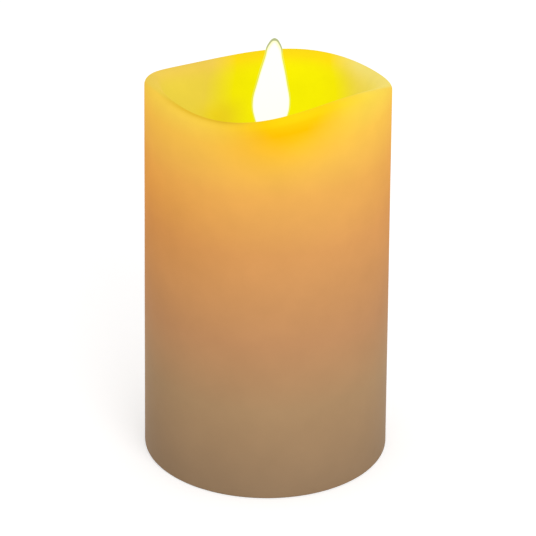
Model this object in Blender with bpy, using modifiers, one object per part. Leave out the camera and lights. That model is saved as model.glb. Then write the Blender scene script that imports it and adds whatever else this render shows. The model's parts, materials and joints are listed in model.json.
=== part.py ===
"""Flameless LED pillar candle with a swinging flame, modelled as separate pieces.

Units are metres and +Z is up. The origin is the middle of the foot, and the front faces -Y.
"""

import math

import bmesh
import bpy
from mathutils import Matrix, Vector

# Fits and mesh fineness
SEAT_GAP = 0.0003          # between a piece and the face it sits on
CELL_CLEARANCE = 0.00035   # round a cell in its well
COLLAR_CLEARANCE = 0.0004  # round the mechanism's collar in the flame hole
MERGE_DISTANCE = 0.00001
SHARP_ANGLE = math.radians(35)
SHELL_STEPS = 64
BASE_STEPS = 48
ROUND_STEPS = 32
MEDIUM_STEPS = 24
BOSS_STEPS = 16
SMALL_STEPS = 12
ARC_STEPS = 4
FOOT_STEPS = 2
LEAD_STEPS = 3

# Wax shell
CANDLE_RADIUS = 0.0381
WAX_WALL = 0.0046
BOWL_DEPTH = 0.02145       # from the mean rim down to the floor of the bowl
BOWL_THICKNESS = 0.0050    # wax at the flame hole
BOWL_STEPS = 9
CAVITY_STEPS = 5
BOWL_EDGE = 0.0005         # how far the collar stays below the floor of the bowl
ROOF_RISE = 0.0065         # how far the cavity's roof climbs towards the wall
RIM_OUTER_ROUND = 0.0021
RIM_INNER_ROUND = 0.0024
RIM_LAND = 0.0002
RIM_SLOPE = math.radians(60)
FOOT_ROUND = 0.0006
RIM_TILT = 0.0068          # one wave round the rim, high at the front
RIM_TILT_TOWARDS = math.radians(9)
RIM_SWELL = 0.0011         # two waves round the rim
RIM_SWELL_TOWARDS = math.radians(67)
RIM_RIPPLE = 0.0019        # three waves round the rim
RIM_RIPPLE_TOWARDS = math.radians(42)

# Base plate
BASE_RECESS = 0.0020       # from the foot of the wax up to the plate
BASE_THICKNESS = 0.0030
SKIRT_HEIGHT = 0.0080
SKIRT_WALL = 0.0020

# Cells, contacts and springs
CELL_RADIUS = 0.0071
CELL_BODY = 0.0492
CELL_CHAMFER = 0.0006
NUB_RADIUS = 0.0027
NUB_HEIGHT = 0.0010
CONTACT_THICKNESS = 0.0004
CONTACT_HALF = 0.0048
TAB_HALF = 0.0015
TAB_REACH = 0.0006         # past the edge of the case's roof
SPRING_HEIGHT = 0.0050
SPRING_WIRE = 0.00035
SPRING_FOOT_RADIUS = 0.0040
SPRING_TIP_RADIUS = 0.0028
SPRING_TURNS = 4
TURN_POINTS = 10

# Battery case
CASE_WALL = 0.0016
CASE_ROOF = 0.0016
ROOF_LIP = 0.0006
ROOF_CORNER = 0.0030
FLANGE_THICKNESS = 0.0022
FLANGE_BEARING = 0.0065    # width of flange beyond the door opening
FLANGE_CORNER = 0.0030
POST_RADIUS = 0.0030
POST_OFFSET = 0.0183
MECHANISM_LIFT = 0.0072    # from the case's roof up to the mechanism

# Battery door
DOOR_THICKNESS = 0.0018
DOOR_LAP = 0.0006          # past the cells' well at each side
DOOR_REACH = 0.0020        # past the well at the free edge
DOOR_GAP = 0.0004
HINGE_OFFSET = 0.0026      # from the well to the hinge line
HINGE_ROOM = 0.0019        # behind the hinge line, for the door to turn
BARREL_RADIUS = 0.0011
TRUNNION_RADIUS = 0.0007
TRUNNION_LENGTH = 0.0020
CATCH_HALF = 0.0040
CATCH_DEPTH = 0.0010
CATCH_HEIGHT = 0.0007
CATCH_BITE = 0.00015
TAB_LENGTH = 0.0022        # finger tab on the door
TAB_THICKNESS = 0.0010
TAB_WIDTH = 0.0050
NOTCH_RADIUS = 0.0045
NOTCH_DEPTH = 0.0015

# Screws
SCREW_HEAD = 0.0020
SCREW_HEAD_HEIGHT = 0.0013
SCREW_SHANK = 0.0010
SCREW_LENGTH = 0.0070
SMALL_HEAD = 0.0016
SMALL_HEAD_HEIGHT = 0.0010
SMALL_SHANK = 0.0008
SMALL_LENGTH = 0.0042
HEAD_FLAT = 0.7            # flat share of a head's radius
RECESS_WIDTH = 0.0005
RECESS_DEPTH = 0.0006
RECESS_REACH = 0.6         # recess share of a head's radius
HEAD_RELIEF = 0.0004       # round a sunk head
BOSS_WALL = 0.0015         # plastic round a screw hole
BASE_SCREW_Y = 0.0060

# Slide switch
SWITCH_ROOM = 0.0045       # from the case's flange to the middle of the switch
SWITCH_HALF = 0.0050
SWITCH_HALF_WIDTH = 0.0025
SWITCH_HEIGHT = 0.0044
SWITCH_PLATE = 0.0005
SWITCH_SCREW_X = 0.0090
SWITCH_TRAVEL = 0.0040
KNOB_LENGTH = 0.0040
KNOB_WIDTH = 0.0026
KNOB_STANDS_OUT = 0.0010
KNOB_PLAY = 0.0004
SHOE_HALF = 0.0045
SHOE_HALF_WIDTH = 0.0023
SHOE_THICKNESS = 0.0008
PIN_PITCH = 0.0025
PIN_HALF = 0.0003
PIN_LENGTH = 0.0020

# Control board
BOARD_HALF_WIDTH = 0.0120
BOARD_HEIGHT = 0.0340
BOARD_THICKNESS = 0.0016
BOARD_FOOT = 0.0120        # above the base plate
BOARD_STANDOFF = 0.0030
BOARD_SCREW_INSET = 0.0090
CHIP_SIZE = (0.0040, 0.0015, 0.0050)
TRANSISTOR_SIZE = (0.0030, 0.0011, 0.0016)
RESISTOR_SIZE = (0.0032, 0.0006, 0.0016)
CAPACITOR_RADIUS = 0.0025
CAPACITOR_HEIGHT = 0.0070
PARTS_COLUMN = 0.0068      # board parts stand this far from the middle
PARTS_PITCH = 0.0070

# Swing mechanism
HOUSING_RADIUS = 0.0130
HOUSING_WALL = 0.0016
HOUSING_SPLIT = 0.0003     # gap between the two halves
COLLAR_RADIUS = 0.0097
COLLAR_RISE = 0.0055       # above the pivot
SHOULDER_DROP = 0.0045     # from the pivot down to the shoulder
SHOULDER_HEIGHT = 0.0020
EAR_HALF_WIDTH = 0.0035
EAR_THICKNESS = 0.0024
LEAD_SLOT_HALF = 0.0027
LEAD_SLOT_WIDTH = 0.0024
LED_SLOT_Y = -0.0096
COIL_SLOT_Y = 0.0088
SPLIT_BOSS_RISE = 0.0100   # joining screws above the mechanism's floor
SPLIT_BOSS_REACH = 0.0020  # their axis beyond the housing wall
SPLIT_BOSS_RIGHT = 0.0035
SPLIT_BOSS_LEFT = 0.0045

# Lamp
LED_RADIUS = 0.0025
LED_FLANGE_RADIUS = 0.0029
LED_FLANGE_HEIGHT = 0.0010
LED_HEIGHT = 0.0076        # above its flange
LED_TILT = math.radians(12)
LED_OFFSET = 0.0066        # in front of the axis, at its seat
LED_ROOM = 0.0015          # above the magnet, for its swing
LED_LEG_SPACING = 0.00254
LED_LEG_LENGTH = 0.0044
LED_LEG_RADIUS = 0.00025
LED_BLOCK_HALF = 0.0048
LED_BLOCK_RISE = 0.0023
LED_BLOCK_WALL = 0.0016

# Coil and magnet
BOBBIN_RADIUS = 0.0065
BOBBIN_CORE = 0.0030
BOBBIN_BORE = 0.0012
BOBBIN_HEIGHT = 0.0045
BOBBIN_FLANGE = 0.0008
WINDING_INSET = 0.0005     # below the bobbin's flanges
COIL_GAP = 0.0022
MAGNET_RADIUS = 0.0035
MAGNET_HEIGHT = 0.0030

# Flame, with heights from its pivot
FLAME_REACH = 0.0426
FLAME_THICKNESS = 0.0016
FLAME_LEAN = math.radians(2.5)
FLAME_HALF_WIDTH = 0.00605
FLAME_BELLY = 0.0199
TIP_HALF_WIDTH = 0.00195
TIP_DEPTH = 0.0019
BROW_HALF_WIDTH = 0.00295
BROW_DEPTH = 0.0061
FLANK_HALF_WIDTH = 0.0048
FLANK_HEIGHT = 0.0284
HEEL_HALF_WIDTH = 0.0045
HEEL_HEIGHT = 0.0133
NECK_HALF_WIDTH = 0.0024
NECK_HEIGHT = 0.0070
EYE_HALF_WIDTH = 0.0022
STEM_HALF_WIDTH = 0.0014
STEM_SHOULDER = 0.0040     # the stem is straight below this
STEM_LENGTH = 0.0160
TAIL_HALF_WIDTH = 0.0030
TAIL_HEIGHT = 0.0010
OUTLINE_STEPS = 4

# Pivot wire
WIRE_RADIUS = 0.0004
WIRE_RISE = 0.0006         # the ends sit higher, so the flame stays in the middle
WIRE_FLAT_HALF = 0.0015

# Leads
LEAD_RADIUS = 0.0005
ENAMEL_RADIUS = 0.00025
LEAD_BOW = 0.0022          # how far a lead stands off the board
LEAD_DROP = 0.0075         # how far above its pad it starts to bow
LEAD_BEND = 0.0015         # the last bend into a pad
LEAD_START = 0.0026        # straight run out of a tab, pin or leg
PAD_INSET = 0.0022         # from the edge of the board
LED_PAD_X = 0.0046
LED_SLOT_X = 0.0016
COIL_PAD_X = 0.0017

# Heights, from the foot upwards
BASE_BOTTOM = BASE_RECESS
BASE_TOP = BASE_BOTTOM + BASE_THICKNESS
DOOR_TOP = BASE_BOTTOM + DOOR_THICKNESS
HINGE_Z = BASE_BOTTOM + BASE_THICKNESS / 2
BRIDGE_BOTTOM = DOOR_TOP + SEAT_GAP
BRIDGE_TOP = BRIDGE_BOTTOM + CONTACT_THICKNESS
CONTACT_BOTTOM = BRIDGE_TOP + CELL_BODY + NUB_HEIGHT + SPRING_HEIGHT + 3 * SEAT_GAP
CONTACT_TOP = CONTACT_BOTTOM + CONTACT_THICKNESS
ROOF_BOTTOM = CONTACT_TOP + SEAT_GAP
ROOF_TOP = ROOF_BOTTOM + CASE_ROOF
FLANGE_BOTTOM = BASE_TOP + SEAT_GAP
FLANGE_TOP = FLANGE_BOTTOM + FLANGE_THICKNESS
HOUSING_BOTTOM = ROOF_TOP + MECHANISM_LIFT
EAR_TOP = HOUSING_BOTTOM + EAR_THICKNESS
FLOOR_TOP = HOUSING_BOTTOM + HOUSING_WALL
BOBBIN_BOTTOM = FLOOR_TOP + SEAT_GAP
BOBBIN_TOP = BOBBIN_BOTTOM + BOBBIN_HEIGHT
PIVOT_Z = BOBBIN_TOP + COIL_GAP + MAGNET_HEIGHT + SEAT_GAP + STEM_LENGTH
COLLAR_TOP = PIVOT_Z + COLLAR_RISE
SHOULDER_TOP = PIVOT_Z - SHOULDER_DROP
SPLIT_BOSS_Z = FLOOR_TOP + SPLIT_BOSS_RISE
LED_SEAT_Z = PIVOT_Z - STEM_LENGTH + LED_ROOM + LED_BLOCK_RISE
BOWL_FLOOR = COLLAR_TOP + BOWL_EDGE
RIM_MEAN = BOWL_FLOOR + BOWL_DEPTH
CAVITY_CROWN = BOWL_FLOOR - BOWL_THICKNESS
SWITCH_BOTTOM = BASE_TOP + SHOE_THICKNESS + 2 * SEAT_GAP
SWITCH_TOP = SWITCH_BOTTOM + SWITCH_HEIGHT
BOARD_BOTTOM = BASE_TOP + BOARD_FOOT
BOARD_TOP = BOARD_BOTTOM + BOARD_HEIGHT
BOARD_MIDDLE = (BOARD_BOTTOM + BOARD_TOP) / 2

# Widths, from the middle outwards
CAVITY_RADIUS = CANDLE_RADIUS - WAX_WALL
FLAME_HOLE = COLLAR_RADIUS + COLLAR_CLEARANCE
BASE_RADIUS = CAVITY_RADIUS - SEAT_GAP
WELL_RADIUS = CELL_RADIUS + CELL_CLEARANCE
CELL_OFFSET = WELL_RADIUS
CASE_RADIUS = WELL_RADIUS + CASE_WALL
DOOR_HALF = CELL_OFFSET + WELL_RADIUS + DOOR_LAP
DOOR_FREE_Y = WELL_RADIUS + DOOR_REACH
HINGE_Y = -WELL_RADIUS - HINGE_OFFSET
OPENING_HALF = DOOR_HALF + DOOR_GAP
OPENING_BACK = DOOR_FREE_Y + DOOR_GAP
OPENING_FRONT = HINGE_Y - HINGE_ROOM
FLANGE_HALF = OPENING_HALF + FLANGE_BEARING
FLANGE_HALF_WIDTH = HINGE_ROOM - HINGE_Y + BOSS_WALL
BASE_SCREW_X = OPENING_HALF + FLANGE_BEARING / 2
ROOF_HALF = POST_OFFSET + POST_RADIUS + ROOF_LIP
ROOF_HALF_WIDTH = CASE_RADIUS + ROOF_LIP
EAR_REACH = POST_OFFSET + POST_RADIUS
SWITCH_Y = FLANGE_HALF_WIDTH + SWITCH_ROOM
SWITCH_PLATE_HALF = SWITCH_SCREW_X + SMALL_HEAD + HEAD_RELIEF
BOARD_BACK = CASE_RADIUS + BOARD_STANDOFF + SEAT_GAP
BOARD_FACE = BOARD_BACK + BOARD_THICKNESS
PAD_Y = BOARD_FACE + SEAT_GAP
SPLIT_BOSS_Y = HOUSING_RADIUS + SPLIT_BOSS_REACH
SCREW_HOLE = SCREW_SHANK + SEAT_GAP
SCREW_BOSS = SCREW_HOLE + BOSS_WALL
SMALL_HOLE = SMALL_SHANK + SEAT_GAP
SMALL_BOSS = SMALL_HOLE + BOSS_WALL / 2
PILOT_DEPTH = SCREW_LENGTH + SEAT_GAP

LED_AXIS = Vector((0.0, math.sin(LED_TILT), math.cos(LED_TILT)))
LED_SEAT = Vector((0.0, -LED_OFFSET, LED_SEAT_Z))

PARTS = bpy.data.collections.new("flameless_led_candle")
HELPERS = bpy.data.collections.new("cutters")


def clear_scene():
    """Start from an empty scene with one collection for parts and one for cutters."""
    for old in list(bpy.data.objects):
        bpy.data.objects.remove(old)
    for group in (PARTS, HELPERS):
        bpy.context.scene.collection.children.link(group)


def finish(name, colour, roughness, metallic=0.0, glow=0.0):
    """A plain material in the colour of the piece."""
    paint = bpy.data.materials.new(name)
    paint.use_nodes = True
    shader = paint.node_tree.nodes["Principled BSDF"]
    shader.inputs["Base Color"].default_value = (*colour, 1.0)
    shader.inputs["Roughness"].default_value = roughness
    shader.inputs["Metallic"].default_value = metallic
    shader.inputs["Emission Color"].default_value = (*colour, 1.0)
    shader.inputs["Emission Strength"].default_value = glow
    paint.diffuse_color = (*colour, 1.0)
    return paint


WAX = finish("warm_wax", (0.78, 0.46, 0.20), 0.55)
FLAME = finish("lit_flame", (1.0, 0.97, 0.86), 0.35, glow=1.0)
WHITE_PLASTIC = finish("white_plastic", (0.74, 0.72, 0.66), 0.45)
BLACK_PLASTIC = finish("black_plastic", (0.03, 0.03, 0.035), 0.40)
STEEL = finish("bright_steel", (0.62, 0.62, 0.60), 0.28, metallic=1.0)
BRASS = finish("plated_contact", (0.70, 0.64, 0.48), 0.30, metallic=1.0)
MAGNET = finish("nickel_magnet", (0.55, 0.55, 0.54), 0.22, metallic=1.0)
COPPER = finish("copper_winding", (0.62, 0.25, 0.10), 0.35, metallic=1.0)
BOARD = finish("board_green", (0.03, 0.20, 0.08), 0.40)
CELL = finish("cell_jacket", (0.10, 0.12, 0.16), 0.32)
LENS = finish("led_lens", (0.95, 0.86, 0.60), 0.12)
RED = finish("red_lead", (0.50, 0.03, 0.03), 0.45)
BLACK = finish("black_lead", (0.02, 0.02, 0.02), 0.45)
YELLOW = finish("yellow_lead", (0.70, 0.48, 0.05), 0.45)


def place(name, data, paint=None):
    """Put a shape in the scene: as a part if it has a finish, or else as a cutter."""
    thing = bpy.data.objects.new(name, data)
    if paint:
        data.materials.append(paint)
        PARTS.objects.link(thing)
    else:
        thing.hide_render = True
        thing.display_type = "WIRE"
        HELPERS.objects.link(thing)
    return thing


def solid(name, shape, paint=None):
    """Turn a bmesh into an object, smooth where it is round."""
    mesh = bpy.data.meshes.new(name)
    shape.to_mesh(mesh)
    shape.free()
    mesh.shade_smooth()
    mesh.set_sharp_from_angle(angle=SHARP_ANGLE)
    return place(name, mesh, paint)


def box(name, low, high, paint=None):
    """A block between two corners."""
    size = Vector(high) - Vector(low)
    middle = (Vector(high) + Vector(low)) / 2
    shape = bmesh.new()
    bmesh.ops.create_cube(shape, matrix=Matrix.Translation(middle) @ Matrix.Diagonal((*size, 1.0)))
    return solid(name, shape, paint)


def rod(name, start, end, radius, paint=None, steps=ROUND_STEPS):
    """A round bar from one point to another."""
    run = Vector(end) - Vector(start)
    middle = (Vector(end) + Vector(start)) / 2
    turn = run.to_track_quat("Z", "Y").to_matrix().to_4x4()
    shape = bmesh.new()
    bmesh.ops.create_cone(shape, cap_ends=True, segments=steps, radius1=radius, radius2=radius,
                          depth=run.length, matrix=Matrix.Translation(middle) @ turn)
    return solid(name, shape, paint)


def turned(name, profile, paint=None, closed=False, steps=ROUND_STEPS):
    """Turn (radius, height) points about Z. They run down the outer side, top to bottom."""
    shape = bmesh.new()
    points = [shape.verts.new((radius, 0.0, height)) for radius, height in profile]
    for first, second in zip(points, points[1:]):
        shape.edges.new((first, second))
    if closed:
        shape.edges.new((points[-1], points[0]))
    part = solid(name, shape, paint)
    spin = part.modifiers.new("Turn", "SCREW")
    spin.steps = steps
    spin.render_steps = steps
    spin.use_merge_vertices = True
    spin.merge_threshold = MERGE_DISTANCE
    return part


def worked_mesh(thing):
    """The object's mesh with its modifiers, or its curve, worked in and its seams welded."""
    bpy.context.view_layer.update()
    graph = bpy.context.evaluated_depsgraph_get()
    mesh = bpy.data.meshes.new_from_object(thing.evaluated_get(graph))
    shape = bmesh.new()
    shape.from_mesh(mesh)
    bmesh.ops.remove_doubles(shape, verts=shape.verts, dist=MERGE_DISTANCE)
    bmesh.ops.recalc_face_normals(shape, faces=shape.faces)
    shape.to_mesh(mesh)
    shape.free()
    mesh.shade_smooth()
    mesh.set_sharp_from_angle(angle=SHARP_ANGLE)
    return mesh


def meshed(name, curve, matrix, paint=None):
    """Make a mesh object of a curve, where the curve stood."""
    thing = place(name + "_curve", curve)
    thing.matrix_world = matrix
    mesh = worked_mesh(thing)
    bpy.data.objects.remove(thing)
    part = place(name, mesh, paint)
    part.matrix_world = matrix
    return part


def plate(name, outlines, low, high, paint=None):
    """A flat outline, with any holes in it, between two heights."""
    curve = bpy.data.curves.new(name, "CURVE")
    curve.dimensions = "2D"
    curve.fill_mode = "BOTH"
    curve.extrude = (high - low) / 2
    for outline in outlines:
        spline = curve.splines.new("POLY")
        spline.points.add(len(outline) - 1)
        for point, (x, y) in zip(spline.points, outline):
            point.co = (x, y, 0.0, 1.0)
        spline.use_cyclic_u = True
    return meshed(name, curve, Matrix.Translation((0.0, 0.0, (low + high) / 2)), paint)


def tube(name, points, radius, paint, kind="BEZIER"):
    """A wire along a route: a smooth curve through its points, or straight from point to point."""
    curve = bpy.data.curves.new(name, "CURVE")
    curve.dimensions = "3D"
    curve.bevel_depth = radius
    curve.bevel_resolution = 1
    curve.resolution_u = LEAD_STEPS
    curve.use_fill_caps = True
    spline = curve.splines.new(kind)
    if kind == "BEZIER":
        spline.bezier_points.add(len(points) - 1)
        for knot, point in zip(spline.bezier_points, points):
            knot.co = point
            knot.handle_left_type = "AUTO"
            knot.handle_right_type = "AUTO"
    else:
        spline.points.add(len(points) - 1)
        for knot, point in zip(spline.points, points):
            knot.co = (*point, 1.0)
    return meshed(name, curve, Matrix.Identity(4), paint)


def combine(part, operation, others):
    """Cut other shapes from a part, join them to it or keep what they share."""
    for other in others:
        step = part.modifiers.new(other.name, "BOOLEAN")
        step.operation = operation
        step.object = other
        step.solver = "EXACT"


def cut(part, *cutters):
    """Cut each cutter out of a part."""
    combine(part, "DIFFERENCE", cutters)


def join(part, *others):
    """Join each helper to a part."""
    combine(part, "UNION", others)


def arc(centre, radius, start, end, steps=ARC_STEPS):
    """Points on an arc, with angles in degrees from the first axis."""
    points = []
    for step in range(steps + 1):
        angle = math.radians(start + (end - start) * step / steps)
        points.append((centre[0] + radius * math.cos(angle), centre[1] + radius * math.sin(angle)))
    return points


def rounded_box(half_x, half_y, corner):
    """A rectangle about the axis with round corners."""
    x = half_x - corner
    y = half_y - corner
    return (arc((x, y), corner, 0, 90) + arc((-x, y), corner, 90, 180)
            + arc((-x, -y), corner, 180, 270) + arc((x, -y), corner, 270, 360))


def racetrack(offset, radius):
    """Two half circles joined by straight sides."""
    return (arc((offset, 0.0), radius, -90, 90, ROUND_STEPS // 2)
            + arc((-offset, 0.0), radius, 90, 270, ROUND_STEPS // 2))


def joint_empty(name, point, turn=0.0):
    """An empty on a joint's axis, for the pieces that move on it."""
    empty = bpy.data.objects.new(name, None)
    PARTS.objects.link(empty)
    empty.matrix_world = Matrix.Translation(point) @ Matrix.Rotation(turn, 4, "Y")
    bpy.context.view_layer.update()
    return empty


def carry(empty, *pieces):
    """Parent pieces to an empty and leave them where they are."""
    for piece in pieces:
        piece.parent = empty
        piece.matrix_parent_inverse = empty.matrix_world.inverted()


def rim_wave(angle):
    """How far the rim stands above its mean at an angle from the front, towards +X."""
    return (RIM_TILT * math.cos(angle - RIM_TILT_TOWARDS)
            + RIM_SWELL * math.cos(2 * (angle - RIM_SWELL_TOWARDS))
            + RIM_RIPPLE * math.cos(3 * (angle - RIM_RIPPLE_TOWARDS)))


def wax_profile():
    """The wall of the shell as it would be turned, with a level rim."""
    outer = arc((CANDLE_RADIUS - RIM_OUTER_ROUND, RIM_MEAN - RIM_OUTER_ROUND), RIM_OUTER_ROUND, 90, 0)
    foot = arc((CANDLE_RADIUS - FOOT_ROUND, FOOT_ROUND), FOOT_ROUND, 0, -90, FOOT_STEPS)
    cavity_width = CAVITY_RADIUS - FLAME_HOLE
    roof = []
    for step in range(CAVITY_STEPS):
        share = 1 - step / (CAVITY_STEPS - 1)
        roof.append((FLAME_HOLE + cavity_width * share, CAVITY_CROWN + ROOF_RISE * share ** 2))
    land = CANDLE_RADIUS - RIM_OUTER_ROUND - RIM_LAND
    lip = arc((land, RIM_MEAN - RIM_INNER_ROUND), RIM_INNER_ROUND, 90 + math.degrees(RIM_SLOPE), 90)
    bowl_width = lip[0][0] - FLAME_HOLE
    bowl_height = lip[0][1] - BOWL_FLOOR
    power = math.tan(RIM_SLOPE) * bowl_width / bowl_height
    bowl = []
    for step in range(BOWL_STEPS):
        share = step / BOWL_STEPS
        bowl.append((FLAME_HOLE + bowl_width * share, BOWL_FLOOR + bowl_height * share ** power))
    return outer + foot + [(CAVITY_RADIUS, 0.0)] + roof + bowl + lip


def make_wax_shell():
    """Turn the wax, then raise and lower its rim in waves that die out at the bowl's floor."""
    blank = turned("wax_blank", wax_profile(), closed=True, steps=SHELL_STEPS)
    mesh = worked_mesh(blank)
    bpy.data.objects.remove(blank)
    crest = BOWL_DEPTH - RIM_OUTER_ROUND
    for vertex in mesh.vertices:
        share = min(max((vertex.co.z - BOWL_FLOOR) / crest, 0.0), 1.0)
        vertex.co.z += share * rim_wave(math.atan2(vertex.co.x, -vertex.co.y))
    place("wax_shell", mesh, WAX)


def make_base_plate():
    """The plug in the foot of the wax, with the door opening, hinge sockets and switch slot."""
    top = BASE_TOP + SKIRT_HEIGHT
    inner = BASE_RADIUS - SKIRT_WALL
    middle = (BASE_BOTTOM + BASE_TOP) / 2
    profile = [(0.0, BASE_TOP), (inner, BASE_TOP), (inner, top), (BASE_RADIUS, top),
               (BASE_RADIUS, BASE_BOTTOM), (0.0, BASE_BOTTOM)]
    base = turned("base_plate", profile, WHITE_PLASTIC, steps=BASE_STEPS)
    post_top = SWITCH_BOTTOM - SEAT_GAP
    for side in (-1, 1):
        x = side * SWITCH_SCREW_X
        join(base, rod("switch_post", (x, SWITCH_Y, middle), (x, SWITCH_Y, post_top), SMALL_BOSS,
                       steps=BOSS_STEPS))
    below = BASE_BOTTOM - BASE_THICKNESS
    above = BASE_TOP + BASE_THICKNESS
    cut(base, box("door_opening", (-OPENING_HALF, OPENING_FRONT, below),
                  (OPENING_HALF, OPENING_BACK, above)))
    socket = OPENING_HALF + TRUNNION_LENGTH + SEAT_GAP - DOOR_GAP
    cut(base, rod("hinge_socket", (-socket, HINGE_Y, HINGE_Z), (socket, HINGE_Y, HINGE_Z),
                  TRUNNION_RADIUS + SEAT_GAP, steps=SMALL_STEPS))
    cut(base, rod("finger_notch", (0.0, OPENING_BACK, below), (0.0, OPENING_BACK, BASE_BOTTOM + NOTCH_DEPTH),
                  NOTCH_RADIUS))
    slot = (KNOB_LENGTH + SWITCH_TRAVEL) / 2 + KNOB_PLAY
    slot_half = KNOB_WIDTH / 2 + KNOB_PLAY
    cut(base, box("switch_slot", (-slot, SWITCH_Y - slot_half, below), (slot, SWITCH_Y + slot_half, above)))
    hole_end = SWITCH_BOTTOM + SWITCH_PLATE - SMALL_LENGTH
    for side in (-1, 1):
        x = side * SWITCH_SCREW_X
        cut(base, rod("switch_pilot", (x, SWITCH_Y, hole_end), (x, SWITCH_Y, above), SMALL_HOLE,
                      steps=SMALL_STEPS))
    seat = BASE_BOTTOM + SCREW_HEAD_HEIGHT + SEAT_GAP
    sink = SCREW_HEAD + HEAD_RELIEF
    for x, y in base_screw_places():
        cut(base, rod("base_screw_hole", (x, y, below), (x, y, above), SCREW_HOLE, steps=SMALL_STEPS))
        cut(base, rod("base_screw_sink", (x, y, below), (x, y, seat), sink, steps=SMALL_STEPS))


def base_screw_places():
    """Where the four screws go up through the base plate."""
    return [(x * BASE_SCREW_X, y * BASE_SCREW_Y) for x in (-1, 1) for y in (-1, 1)]


def make_battery_case():
    """The two-cell case, with a flange on the base plate and a roof that carries the mechanism."""
    mid_flange = (FLANGE_BOTTOM + FLANGE_TOP) / 2
    mid_roof = (ROOF_BOTTOM + ROOF_TOP) / 2
    case = plate("battery_case", [racetrack(CELL_OFFSET, CASE_RADIUS)], mid_flange, mid_roof, WHITE_PLASTIC)
    join(case, plate("case_flange", [rounded_box(FLANGE_HALF, FLANGE_HALF_WIDTH, FLANGE_CORNER)],
                     FLANGE_BOTTOM, FLANGE_TOP))
    join(case, plate("case_roof", [rounded_box(ROOF_HALF, ROOF_HALF_WIDTH, ROOF_CORNER)],
                     ROOF_BOTTOM, ROOF_TOP))
    boss_top = BASE_BOTTOM + SCREW_HEAD_HEIGHT + PILOT_DEPTH + BOSS_WALL
    for x, y in base_screw_places():
        join(case, rod("case_boss", (x, y, mid_flange), (x, y, boss_top), SCREW_BOSS, steps=BOSS_STEPS))
    for side in (-1, 1):
        x = side * POST_OFFSET
        join(case, rod("mechanism_post", (x, 0.0, mid_roof), (x, 0.0, HOUSING_BOTTOM - SEAT_GAP), POST_RADIUS,
                       steps=BOSS_STEPS))
    for z in board_screw_heights():
        join(case, rod("board_standoff", (0.0, WELL_RADIUS + CASE_WALL / 2, z),
                       (0.0, BOARD_BACK - SEAT_GAP, z), SMALL_BOSS, steps=BOSS_STEPS))
    below = BASE_BOTTOM
    cut(case, plate("cell_well", [racetrack(CELL_OFFSET, WELL_RADIUS)], below, ROOF_BOTTOM))
    pilot_end = boss_top - BOSS_WALL
    for x, y in base_screw_places():
        cut(case, rod("case_pilot", (x, y, below), (x, y, pilot_end), SCREW_HOLE, steps=SMALL_STEPS))
    for side in (-1, 1):
        x = side * POST_OFFSET
        cut(case, rod("post_pilot", (x, 0.0, EAR_TOP - PILOT_DEPTH), (x, 0.0, EAR_TOP), SCREW_HOLE,
                      steps=SMALL_STEPS))
        x = side * CELL_OFFSET
        cut(case, box("tab_slot", (x - TAB_HALF - SEAT_GAP, 0.0, CONTACT_BOTTOM - SEAT_GAP),
                      (x + TAB_HALF + SEAT_GAP, CASE_RADIUS + CASE_WALL, ROOF_BOTTOM)))
    for z in board_screw_heights():
        cut(case, rod("board_pilot", (0.0, BOARD_FACE - SMALL_LENGTH, z), (0.0, BOARD_FACE, z), SMALL_HOLE,
                      steps=SMALL_STEPS))


def make_cell(name, bottom, positive_up):
    """An AA cell, standing on either end."""
    height = CELL_BODY + NUB_HEIGHT
    rim = CELL_RADIUS - CELL_CHAMFER
    cell = turned(name, [(0.0, height), (NUB_RADIUS, height), (NUB_RADIUS, CELL_BODY), (rim, CELL_BODY),
                         (CELL_RADIUS, CELL_BODY - CELL_CHAMFER), (CELL_RADIUS, CELL_CHAMFER), (rim, 0.0),
                         (0.0, 0.0)], CELL, steps=MEDIUM_STEPS)
    if positive_up:
        cell.location = (-CELL_OFFSET, 0.0, bottom)
    else:
        cell.location = (CELL_OFFSET, 0.0, bottom + height)
        cell.rotation_euler.x = math.pi


def make_spring(name, x, foot, tip):
    """A conical battery spring, wide at its foot. Prints its least gap between turns."""
    rise = SPRING_WIRE if tip > foot else -SPRING_WIRE
    first = foot + rise
    last = tip - rise
    count = SPRING_TURNS * TURN_POINTS
    points = []
    for step in range(count + 1):
        share = step / count
        angle = 2 * math.pi * SPRING_TURNS * share
        radius = SPRING_FOOT_RADIUS + (SPRING_TIP_RADIUS - SPRING_FOOT_RADIUS) * share
        height = first + (last - first) * share
        points.append(Vector((x + radius * math.cos(angle), radius * math.sin(angle), height)))
    least = min((low - high).length for low, high in zip(points, points[TURN_POINTS:]))
    print(name, "least gap between turns", round(least - 2 * SPRING_WIRE, 5))
    return tube(name, points, SPRING_WIRE, STEEL, kind="POLY")


def make_cells_and_contacts():
    """Two cells, one up and one down, and the contacts at the roof of the case."""
    left_bottom = BRIDGE_TOP + SPRING_HEIGHT + 2 * SEAT_GAP
    right_bottom = BRIDGE_TOP + SEAT_GAP
    make_cell("battery_left", left_bottom, True)
    make_cell("battery_right", right_bottom, False)
    spring_foot = CONTACT_BOTTOM - SEAT_GAP
    make_spring("top_spring", CELL_OFFSET, spring_foot, spring_foot - SPRING_HEIGHT)
    for name, x in (("top_contact_positive", -CELL_OFFSET), ("top_contact_negative", CELL_OFFSET)):
        tab_end = ROOF_HALF_WIDTH + TAB_REACH
        outline = [(x - CONTACT_HALF, -CONTACT_HALF), (x + CONTACT_HALF, -CONTACT_HALF),
                   (x + CONTACT_HALF, CONTACT_HALF), (x + TAB_HALF, CONTACT_HALF), (x + TAB_HALF, tab_end),
                   (x - TAB_HALF, tab_end), (x - TAB_HALF, CONTACT_HALF), (x - CONTACT_HALF, CONTACT_HALF)]
        plate(name, [outline], CONTACT_BOTTOM, CONTACT_TOP, BRASS)


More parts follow.
